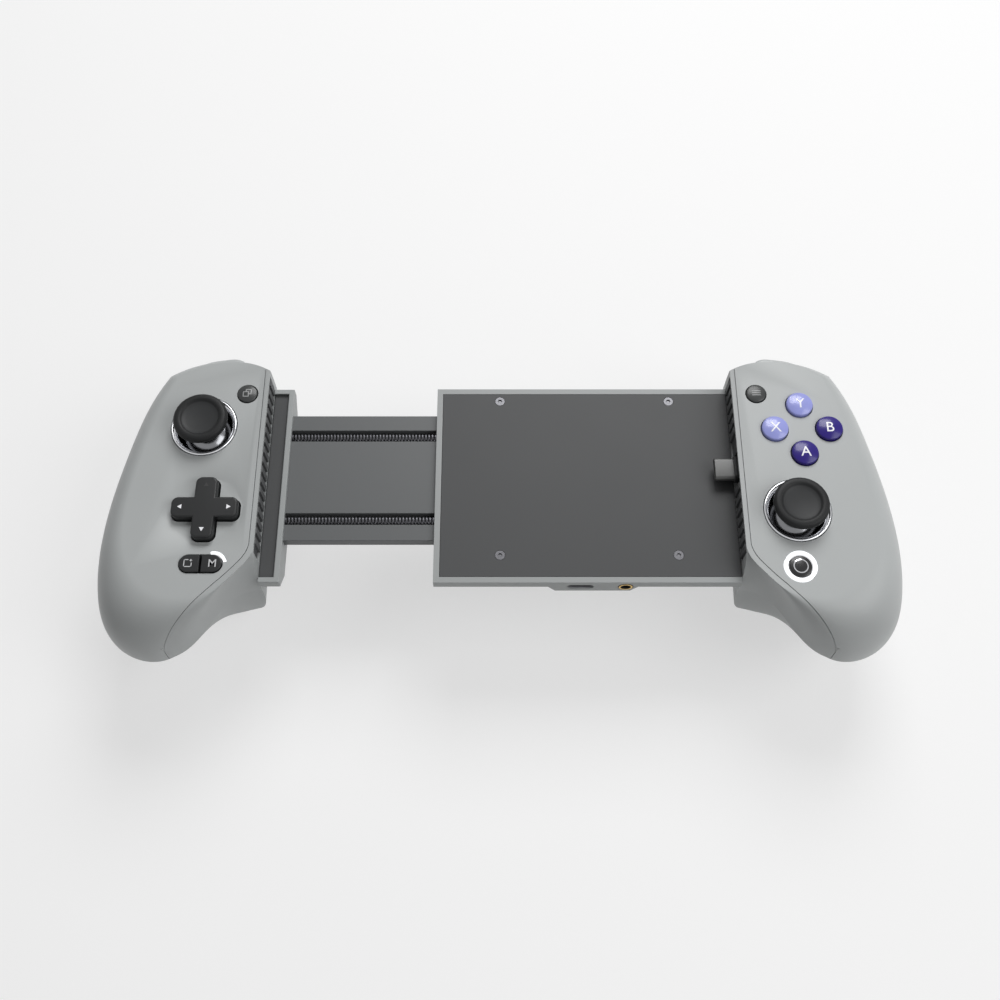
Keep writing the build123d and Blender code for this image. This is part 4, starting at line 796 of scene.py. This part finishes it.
@dataclass
class Glyphs:
    """Letters and signs printed on the controls, laid over flat or domed tops."""

    shop: Workshop
    lift: float = 0.04
    pitch: float = 0.45
    weight: float = 0.002
    cut_reach: float = 0.0000001
    square_step: float = 0.15
    square_share: float = 0.7
    stroke_cover: float = 0.7

    def lettered(self, word: str, height: float) -> bmesh.types.BMesh:
        """A flat letter of a height in millimetres, centred on zero."""
        curve = bpy.data.curves.new("letter_" + word, "FONT")
        curve.body = word
        curve.offset = self.weight
        holder = linked("letter_" + word, curve)
        mesh = holder.to_mesh()
        work = bmesh.new()
        work.from_mesh(mesh)
        holder.to_mesh_clear()
        bpy.data.objects.remove(holder)
        low = Vector([min(vert.co[axis] for vert in work.verts) for axis in range(3)])
        high = Vector([max(vert.co[axis] for vert in work.verts) for axis in range(3)])
        scale = height * MM / (high.y - low.y)
        bmesh.ops.translate(work, vec=-(low + high) / 2, verts=work.verts[:])
        bmesh.ops.scale(work, vec=(scale, scale, scale), verts=work.verts[:])
        return work

    def frame(self, work: bmesh.types.BMesh, centre: Place, size: float, stroke: float,
              shares: tuple[float, float, float, float] = (1.0, 1.0, 1.0, 1.0)) -> None:
        """Adds a square outline, whose sides may stop short.

        Args:
            work: The sign to add to.
            centre: Its middle, in millimetres.
            size: Its outer size in millimetres.
            stroke: Width of its sides.
            shares: How much of the left, right, lower and upper side there is.
        """
        reach = (size - stroke) / 2
        for (across, along), share in zip(((-1, 0), (1, 0), (0, -1), (0, 1)), shares):
            short = size * (1 - share) / 2
            length = size * share
            middle = Vector((centre[0] + across * reach, centre[1] + along * reach, 0))
            if across:
                strip(work, (middle - Vector((0, short * across, 0))) * MM, stroke, length)
            else:
                strip(work, (middle - Vector((short, 0, 0))) * MM, length, stroke)

    def squares(self, size: float, stroke: float) -> bmesh.types.BMesh:
        """Two overlapping square outlines, the back one cut where the front one covers it."""
        work = bmesh.new()
        step = size * self.square_step
        side = size * self.square_share
        self.frame(work, (-step, -step), side, stroke)
        covered = 2 * step + stroke * self.stroke_cover
        far = step + (side - stroke) / 2
        near = step - (side - stroke) / 2
        stub = step + (side - covered) / 2
        for middle, width, length in (((step, far), side, stroke), ((far, step), stroke, side),
                                      ((near, stub), stroke, covered), ((stub, near), covered, stroke)):
            strip(work, Vector((*middle, 0)) * MM, width, length)
        return work

    def bars(self, length: float, stroke: float, gap: float) -> bmesh.types.BMesh:
        """Three level bars."""
        work = bmesh.new()
        for row in (-1, 0, 1):
            strip(work, Vector((0, row * gap * MM, 0)), length, stroke)
        return work

    def capture_sign(self, size: float, stroke: float) -> bmesh.types.BMesh:
        """A square outline open at its upper right corner, where a small spark stands."""
        side_share, spark_place, spark_size, spark_waist = 0.55, 0.36, 0.2, 0.42
        work = bmesh.new()
        self.frame(work, (0, 0), size, stroke, (1.0, side_share, 1.0, side_share))
        place = Vector((size * spark_place, size * spark_place, 0)) * MM
        spark = bmesh.ops.create_circle(work, cap_ends=True, radius=size * spark_size * MM, segments=8,
                                        matrix=Matrix.Translation(place))["verts"]
        bmesh.ops.scale(work, vec=(spark_waist, spark_waist, 1.0), space=Matrix.Translation(-place),
                        verts=spark[1::2])
        return work

    def arrow(self, size: float, turn: float) -> bmesh.types.BMesh:
        """A small triangle, by its middle's distance to a corner and its direction in degrees from +X."""
        work = bmesh.new()
        bmesh.ops.create_circle(work, cap_ends=True, radius=size * MM, segments=3,
                                matrix=Matrix.Rotation(radians(turn - 90), 4, "Z"))
        return work

    def laid(self, work: bmesh.types.BMesh, name: str, node: str, finish: Finish, ball: float = 0.0,
             offset: Place = (0.0, 0.0)) -> None:
        """Lays a flat sign on a control's top.

        Args:
            work: The sign, flat and centred on zero.
            name: The piece's name.
            node: The control's CAD node.
            finish: The ink.
            ball: Radius of a domed top in metres, or 0 for a flat one.
            offset: How far the sign is from the top's middle, in metres.
        """
        if ball:
            reach = max(max(abs(vert.co.x), abs(vert.co.y)) for vert in work.verts)
            steps = int(reach / (self.pitch * MM)) + 1
            for axis in ((1, 0, 0), (0, 1, 0)):
                for step in range(-steps, steps + 1):
                    bmesh.ops.bisect_plane(work, geom=work.verts[:] + work.edges[:] + work.faces[:],
                                           plane_co=Vector(axis) * step * self.pitch * MM, plane_no=axis,
                                           dist=self.cut_reach)
            bmesh.ops.triangulate(work, faces=work.faces[:])
        for face in work.faces:
            if face.normal.z < 0:
                face.normal_flip()
        middle = self.shop.middle(node)
        across, along = middle.x + offset[0], middle.y + offset[1]
        top = self.shop.top(node) + self.lift * MM
        for vert in work.verts:
            drop = ball - sqrt(max(ball * ball - vert.co.x ** 2 - vert.co.y ** 2, 0.0)) if ball else 0.0
            vert.co = Vector((across + vert.co.x, along + vert.co.y, top - drop))
        self.shop.piece(name, work, finish, node)


@dataclass
class GripMouldings:
    """Faceplates, frames and rear shells of both grips."""

    shop: Workshop
    plate_edge: float = 0.35
    frame_edge: float = 0.25
    shell_edge: float = 0.3
    membrane_edge: float = 0.2
    screw_edge: float = 0.12

    def build(self) -> None:
        """Makes the mouldings and dresses what is inside them."""
        palette = self.shop.palette
        for side in Side:
            for part, finish, edge in (("_faceplate", palette.face, self.plate_edge),
                                       ("_front_frame", palette.frame, self.frame_edge),
                                       ("_rear_shell", palette.shell, self.shell_edge),
                                       ("_membrane", palette.membrane, self.membrane_edge),
                                       ("_screws", palette.screw_steel, self.screw_edge),
                                       ("_rear_button", palette.dark, self.shell_edge)):
                self.shop.recast(side.word + part, finish, edge)
            self.shop.dress(side.word + "_plate_magnets", palette.steel)
            self.shop.dress(side.word + "_control_board", palette.board)


@dataclass
class ShoulderControls:
    """Bumpers, triggers and their pins."""

    shop: Workshop
    bumper_edge: float = 0.5
    trigger_edge: float = 0.8

    def build(self) -> None:
        """Makes the shoulder controls."""
        palette = self.shop.palette
        for side in Side:
            self.shop.recast(side.word + "_bumper", palette.bumper, self.bumper_edge, segments=3)
            self.shop.recast(side.word + "_trigger", palette.trigger, self.trigger_edge, segments=4)
            self.shop.dress(side.word + "_shoulder_pins", palette.steel)


@dataclass
class FaceButtons:
    """The four lettered domes."""

    shop: Workshop
    glyphs: Glyphs
    radius: float = 4.55
    crown: float = 0.9
    skirt: float = 6.9
    letter_height: float = 3.6

    def build(self) -> None:
        """Makes each dome and its letter."""
        palette = self.shop.palette
        ball = dome_ball(self.radius, self.crown) * MM
        for letter, finish in (("a", palette.violet), ("b", palette.violet), ("x", palette.pale_violet),
                               ("y", palette.pale_violet)):
            node = "button_" + letter
            self.shop.button(node, finish, self.radius, self.crown, self.skirt)
            self.glyphs.laid(self.glyphs.lettered(letter.upper(), self.letter_height), node + "_letter", node,
                             palette.ink, ball)


@dataclass
class SmallButtons:
    """View, menu, home, capture and macro buttons with their signs and lights."""

    shop: Workshop
    glyphs: Glyphs
    small_radius: float = 3.4
    small_crown: float = 0.5
    home_radius: float = 3.75
    home_crown: float = 0.25
    small_skirt: float = 5.8
    home_skirt: float = 5.3
    capsule_edge: float = 0.15
    ring_edge: float = 0.12
    light_edge: float = 0.1
    inlay_radius: float = 2.1
    inlay_width: float = 0.35
    inlay_facets: int = 64
    squares_size: Place = (3.0, 0.34)
    bars_size: tuple[float, float, float] = (3.0, 0.3, 0.8)
    capture_size: Place = (2.7, 0.3)
    letter_height: float = 2.6

    def build(self) -> None:
        """Makes the buttons, signs and light guides."""
        palette = self.shop.palette
        ball = dome_ball(self.small_radius, self.small_crown) * MM
        for node, sign in (("view_button", self.glyphs.squares(*self.squares_size)),
                           ("menu_button", self.glyphs.bars(*self.bars_size))):
            self.shop.button(node, palette.icon_button, self.small_radius, self.small_crown, self.small_skirt)
            self.glyphs.laid(sign, node + "_sign", node, palette.dim_ink, ball)
        for node, sign in (("capture_button", self.glyphs.capture_sign(*self.capture_size)),
                           ("macro_button", self.glyphs.lettered("M", self.letter_height))):
            self.shop.recast(node, palette.capsule, self.capsule_edge)
            self.glyphs.laid(sign, node + "_sign", node, palette.grey_ink)
        self.shop.button("home_button", palette.home, self.home_radius, self.home_crown, self.home_skirt)
        self.home_inlay()
        for node, edge in (("home_light_ring", self.ring_edge), ("mode_light", self.light_edge)):
            self.shop.recast(node, palette.guide, edge)

    def home_inlay(self) -> None:
        """Lays a plain bright circle on the bare home button."""
        ball = dome_ball(self.home_radius, self.home_crown) * MM
        work = bmesh.new()
        ends = [work.verts.new(((self.inlay_radius + width) * MM, 0, 0)) for width in (0, self.inlay_width)]
        bmesh.ops.spin(work, geom=[*ends, work.edges.new(ends)], cent=(0, 0, 0), axis=(0, 0, 1),
                       angle=2 * pi, steps=self.inlay_facets, use_merge=True, use_duplicate=False)
        work.normal_update()
        self.glyphs.laid(work, "home_button_circle", "home_button", self.shop.palette.ring, ball)


@dataclass
class DirectionPad:
    """The cross with its four arrows, and its rocker."""

    shop: Workshop
    glyphs: Glyphs
    edge: float = 0.3
    arrow_place: float = 7.9
    arrow_size: float = 0.95

    def build(self) -> None:
        """Makes the cross and prints its arrows."""
        palette = self.shop.palette
        self.shop.recast("direction_pad", palette.dpad, self.edge, segments=3)
        self.shop.dress("dpad_rocker", palette.dark)
        for word, turn in (("right", 0), ("up", 90), ("left", 180), ("down", 270)):
            offset = (self.arrow_place * MM * cos(radians(turn)), self.arrow_place * MM * sin(radians(turn)))
            ink = palette.dark_ink if word == "up" else palette.ink
            self.glyphs.laid(self.glyphs.arrow(self.arrow_size, turn), "direction_arrow_" + word,
                             "direction_pad", ink, offset=offset)


@dataclass
class ThumbSticks:
    """Polished rings, dished sticks, and the gimbals below them. Tables hold radius and height or depth."""

    shop: Workshop
    rim_colour: Colour = (22, 23, 24)
    # Paler dish colour: painted light on the stick's dished top
    dish_colour: Colour = (46, 47, 48)
    skirt_colour: Colour = (132, 133, 136)
    stick_facets: int = 96
    cap: tuple[Place, ...] = ((0, 15.8), (1.6, 15.84), (3.2, 15.97), (4.7, 16.16), (6.1, 16.4), (6.35, 16.6),
                              (6.65, 16.83), (6.95, 16.96), (7.25, 17.0))
    rim_centre: Place = (7.594, 15.55)
    rim_radius: float = 1.612
    rim_reach: float = 64
    neck: tuple[Place, ...] = ((3.75, 14.1), (3.5, 13.85))
    socket: tuple[Place, ...] = ((2.3, 11.7), (0, 11.7))
    pivot_height: float = -3.5
    dome_radius: float = 12.0
    dome_wall: float = 1.1
    dome_angles: tuple[float, float, float] = (73.04, 43, 77.82)
    ring_outer: float = 11.25
    ring_inner: float = 9.5
    ring_step: float = 10.5
    ring_seat: float = 2.7
    ring_face: tuple[Place, ...] = ((11.25, 0.55), (11.17, 0.25), (10.98, 0.06), (10.77, 0.0), (10.53, 0.1),
                                    (10.05, 0.8), (9.78, 1.05), (9.6, 1.4), (9.5, 1.9))
    ring_facets: int = 128
    ring_sharp: float = 50.0
    gimbal_edge: float = 0.1

    def build(self) -> None:
        """Makes both sticks."""
        palette = self.shop.palette
        for side in Side:
            word = side.word
            middle = self.shop.middle(word + "_thumbstick")
            foot = Vector((middle.x, middle.y, 0))
            stick = StickMoulding(word + "_stick_rubber", self.rim_colour, self.dish_colour,
                                  self.skirt_colour, foot)
            work = turned(self.stick_profile(), foot, self.stick_facets)
            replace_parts(self.shop.piece(word + "_thumbstick_turned", work, stick, word + "_thumbstick",
                                        sharp=TURNED_SHARP), word + "_thumbstick")
            self.ring(word, middle)
            for part, finish in (("_stick_shaft", palette.dark), ("_stick_yoke", palette.dark),
                                 ("_stick_module", palette.steel)):
                self.shop.recast(word + part, finish, self.gimbal_edge)

    def stick_profile(self) -> list[Place]:
        """Half section of the dished cap, its neck and the dome skirt, in millimetres."""
        centre = (0, self.pivot_height)
        top, foot, lining = self.dome_angles
        return [*self.cap, *arc(self.rim_centre, self.rim_radius, self.rim_reach, -self.rim_reach, 16),
                *self.neck, *arc(centre, self.dome_radius, top, foot, 14),
                *arc(centre, self.dome_radius - self.dome_wall, foot, lining, 8), *self.socket]

    def ring(self, word: str, middle: Vector) -> None:
        """Turns the mirror ring: a rounded crest that rolls into a flared mouth and a straight throat.

        Args:
            word: The grip's side.
            middle: A point on the stick's axis.
        """
        node = word + "_stick_ring"
        low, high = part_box(node)
        depth = (high.z - low.z) / MM
        seat = depth - self.ring_seat
        face = [(radius, depth - drop) for radius, drop in self.ring_face]
        profile = [(self.ring_outer, seat), *face, (self.ring_inner, 0.0), (self.ring_step, 0.0),
                   (self.ring_step, seat)]
        work = turned(profile, Vector((middle.x, middle.y, low.z)), self.ring_facets)
        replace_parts(self.shop.piece(node + "_polished", work, self.shop.palette.ring, node,
                                    sharp=self.ring_sharp), node)


@dataclass
class PhoneClamp:
    """Rubber combs and the rocking plug between them."""

    shop: Workshop
    pad_edge: float = 0.22
    cradle_edge: float = 0.35
    plug_edge: float = 0.1
    contact_depth: float = 2.6
    contact_pitch: float = 0.55
    contact_size: tuple[float, float, float] = (3.6, 0.28, 0.12)

    def build(self) -> None:
        """Makes the combs, the cradle and the plug with its contacts."""
        palette = self.shop.palette
        for side in Side:
            self.shop.recast(side.word + "_phone_pad", palette.pad, self.pad_edge, segments=3)
        self.shop.recast("plug_cradle", palette.dark, self.cradle_edge, segments=3)
        self.shop.recast("phone_plug", palette.plug_metal, self.plug_edge)
        centre = self.shop.middle("phone_plug")
        centre.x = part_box("phone_plug")[0].x + self.contact_depth * MM
        self.shop.contacts("phone_plug", centre, (0, self.contact_pitch, 0), self.contact_pitch,
                           self.contact_size)


@dataclass
class Bridge:
    """Housing, lid, tray, slider, springs, ports and screws."""

    shop: Workshop
    wire: float = 0.26
    wire_sides: int = 6
    coil_pitch: float = 1.15
    coil_steps: int = 12
    spring_radius: float = 1.7
    wire_sharp: float = 80.0
    rim_width: float = 1.9
    floor_depth: float = 1.5
    rim_depth: float = 0.2
    rim_colour: Colour = (158, 161, 161)
    # Sunken floor: its own dark tone, darkened further as painted shadow of the phone
    floor_colour: Colour = (70, 71, 72)
    lip: tuple[Place, ...] = ((1.78, 0.0), (2.3, 0.0), (2.3, 0.12), (1.78, 0.12))
    lip_facets: int = 48
    contact_depth: float = 3.2
    contact_pitch: float = 0.52
    contact_apart: float = 0.36
    contact_size: tuple[float, float, float] = (0.26, 3.4, 0.06)

    def build(self) -> None:
        """Makes the bridge's pieces."""
        palette = self.shop.palette
        low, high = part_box("left_tray")
        rim = self.rim_width * MM
        tray = TrayPlastic("tray_satin", self.rim_colour, self.floor_colour,
                           (low.x - MM, low.y + rim, high.z - self.floor_depth * MM),
                           (high.x - rim, high.y - rim, high.z - self.rim_depth * MM))
        for node, finish, edge, segments in (("bridge_housing", palette.housing, 0.4, 3),
                                             ("bridge_lid", palette.lid, 0.12, 2),
                                             ("left_tray", tray, 0.4, 3),
                                             ("bridge_slider", palette.slider, 0.2, 2),
                                             ("charge_port", palette.steel, 0.08, 2),
                                             ("headphone_jack", palette.dark, 0.12, 2),
                                             ("bridge_screws", palette.screw_steel, 0.1, 2)):
            self.shop.recast(node, finish, edge, segments=segments)
        self.springs()
        self.jack_ring()
        centre = self.shop.middle("charge_port")
        centre.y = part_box("charge_port")[0].y + self.contact_depth * MM
        self.shop.contacts("charge_port", centre, (self.contact_pitch, 0, 0), self.contact_apart,
                           self.contact_size)

    def springs(self) -> None:
        """Winds both springs, which stretch between the housing's anchor and the slider's end."""
        low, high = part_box("retraction_springs")
        middle = (low + high) / 2
        wire = self.wire * MM
        radius = self.spring_radius * MM
        turns = int((high.x - low.x) / (self.coil_pitch * MM))
        steps = turns * self.coil_steps
        advance = Vector(((high.x - low.x - 2 * wire) / steps, 0, 0))
        work = bmesh.new()
        for centre_y in (low.y + radius, high.y - radius):
            centre = Vector((low.x, centre_y, middle.z))
            start = centre + Vector((wire, 0, radius - wire))
            ring = bmesh.ops.create_circle(work, cap_ends=False, radius=wire, segments=self.wire_sides,
                                           matrix=Matrix.Translation(start))["verts"]
            edges = list({edge for vert in ring for edge in vert.link_edges})
            bmesh.ops.spin(work, geom=ring + edges, cent=centre, axis=(1, 0, 0), dvec=advance,
                           angle=2 * pi * turns, steps=steps, use_merge=False, use_duplicate=False)
        bmesh.ops.holes_fill(work, edges=[edge for edge in work.edges if edge.is_boundary])
        bmesh.ops.recalc_face_normals(work, faces=work.faces[:])
        coils = self.shop.piece("retraction_spring_coils", work, self.shop.palette.spring_wire,
                                "retraction_springs", sharp=self.wire_sharp)
        coils.parent = None
        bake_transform(coils)
        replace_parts(coils, "retraction_springs")

    def jack_ring(self) -> None:
        """Adds the gold lip round the headphone socket."""
        middle = self.shop.middle("headphone_jack")
        front = Vector((middle.x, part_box("headphone_jack")[0].y, middle.z))
        work = turned(list(self.lip), Vector(), self.lip_facets)
        bmesh.ops.rotate(work, cent=(0, 0, 0), matrix=Matrix.Rotation(pi / 2, 3, "X"), verts=work.verts[:])
        bmesh.ops.translate(work, vec=front, verts=work.verts[:])
        self.shop.piece("headphone_jack_lip", work, self.shop.palette.gold, "headphone_jack")


@dataclass
class Studio:
    """Floor, lamps aimed at the object's middle, world and the camera."""

    floor_height: float = -0.0446
    lens: float = 41.82
    camera_place: tuple[float, float, float] = (0.0, -0.17563, 0.36186)
    elevation: float = 65.36
    sky: float = 0.2
    floor_size: float = 6.0
    floor_tone: float = 0.9
    floor_glow: float = 0.55

    def build(self) -> None:
        """Sets the scene round the object."""
        bpy.context.scene.view_settings.view_transform = "Standard"
        self.floor()
        self.lamps()
        self.world()
        self.camera()

    def floor(self) -> None:
        """Makes the pale floor."""
        work = bmesh.new()
        bmesh.ops.create_grid(work, x_segments=1, y_segments=1, size=self.floor_size,
                              matrix=Matrix.Translation((0, 0, self.floor_height)))
        mesh = bpy.data.meshes.new("studio_floor")
        work.to_mesh(mesh)
        work.free()
        bench = Bench("floor_white")
        path = bench.node("ShaderNodeLightPath")
        seen = bench.shade(path, "Is Camera Ray")
        glossy = bench.shade(path, "Is Glossy Ray")
        paint = bench.node("ShaderNodeBsdfDiffuse", inputs={"Color": (*[self.floor_tone] * 3, 1.0)})
        glow = bench.node("ShaderNodeEmission", inputs={"Color": (1.0, 1.0, 1.0, 1.0), "Strength": 1.0})
        share = (seen + glossy).kept_within(0.0, 1.0) * self.floor_glow
        mixed = bench.node("ShaderNodeMixShader", inputs={0: share, 1: paint.outputs[0], 2: glow.outputs[0]})
        bench.node("ShaderNodeOutputMaterial", inputs={"Surface": mixed.outputs[0]})
        mesh.materials.append(bench.material)
        thing = linked("studio_floor", mesh)

    def lamps(self) -> None:
        """Hangs the soft lamps."""
        for name, place, size, power in (("key_lamp", (0.14, 0.68, 0.76), (0.55, 0.55), 7.2),
                                         ("fill_lamp", (0.75, -0.20, 0.80), (0.7, 0.7), 4.6),
                                         ("front_lamp", (0.3, -0.9, 0.5), (0.8, 0.3), 0.5)):
            lamp = bpy.data.lights.new(name, "AREA")
            lamp.shape = "RECTANGLE"
            lamp.size, lamp.size_y = size
            lamp.energy = power
            holder = linked(name, lamp)
            holder.location = place
            holder.rotation_euler = (-Vector(place)).to_track_quat("-Z", "Y").to_euler()

    def world(self) -> None:
        """Fills the surroundings with even light, white to the camera."""
        world = bpy.data.worlds.new("studio_world")
        world.use_nodes = True
        tree = world.node_tree
        tree.nodes.clear()
        path = tree.nodes.new("ShaderNodeLightPath")
        seen = Shade(tree, path.outputs["Is Camera Ray"])
        mirrored = Shade(tree, path.outputs["Is Glossy Ray"])
        strength = (seen + mirrored).kept_within(0.0, 1.0) * (1.0 - self.sky) + self.sky
        background = tree.nodes.new("ShaderNodeBackground")
        tree.links.new(strength.socket, background.inputs["Strength"])
        output = tree.nodes.new("ShaderNodeOutputWorld")
        tree.links.new(background.outputs[0], output.inputs["Surface"])
        bpy.context.scene.world = world

    def camera(self) -> None:
        """Places the camera where the photograph was taken from."""
        lens = bpy.data.cameras.new("camera")
        lens.lens = self.lens
        lens.sensor_width = 36.0
        lens.clip_start = 0.01
        lens.clip_end = 50.0
        holder = linked("camera", lens)
        holder.location = self.camera_place
        holder.rotation_euler = (radians(90 - self.elevation), 0, 0)
        bpy.context.scene.camera = holder


def main() -> None:
    """Builds every sub-assembly in order."""
    logging.basicConfig(level=logging.INFO, format="%(name)s %(message)s")
    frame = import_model()
    shop = Workshop(frame)
    glyphs = Glyphs(shop)
    for assembly in (GripMouldings(shop), ShoulderControls(shop), FaceButtons(shop, glyphs),
                     SmallButtons(shop, glyphs), DirectionPad(shop, glyphs), ThumbSticks(shop),
                     PhoneClamp(shop), Bridge(shop)):
        assembly.build()
        LOG.info("built %s", type(assembly).__name__)
    Studio().build()


if __name__ == "__main__":
    main()
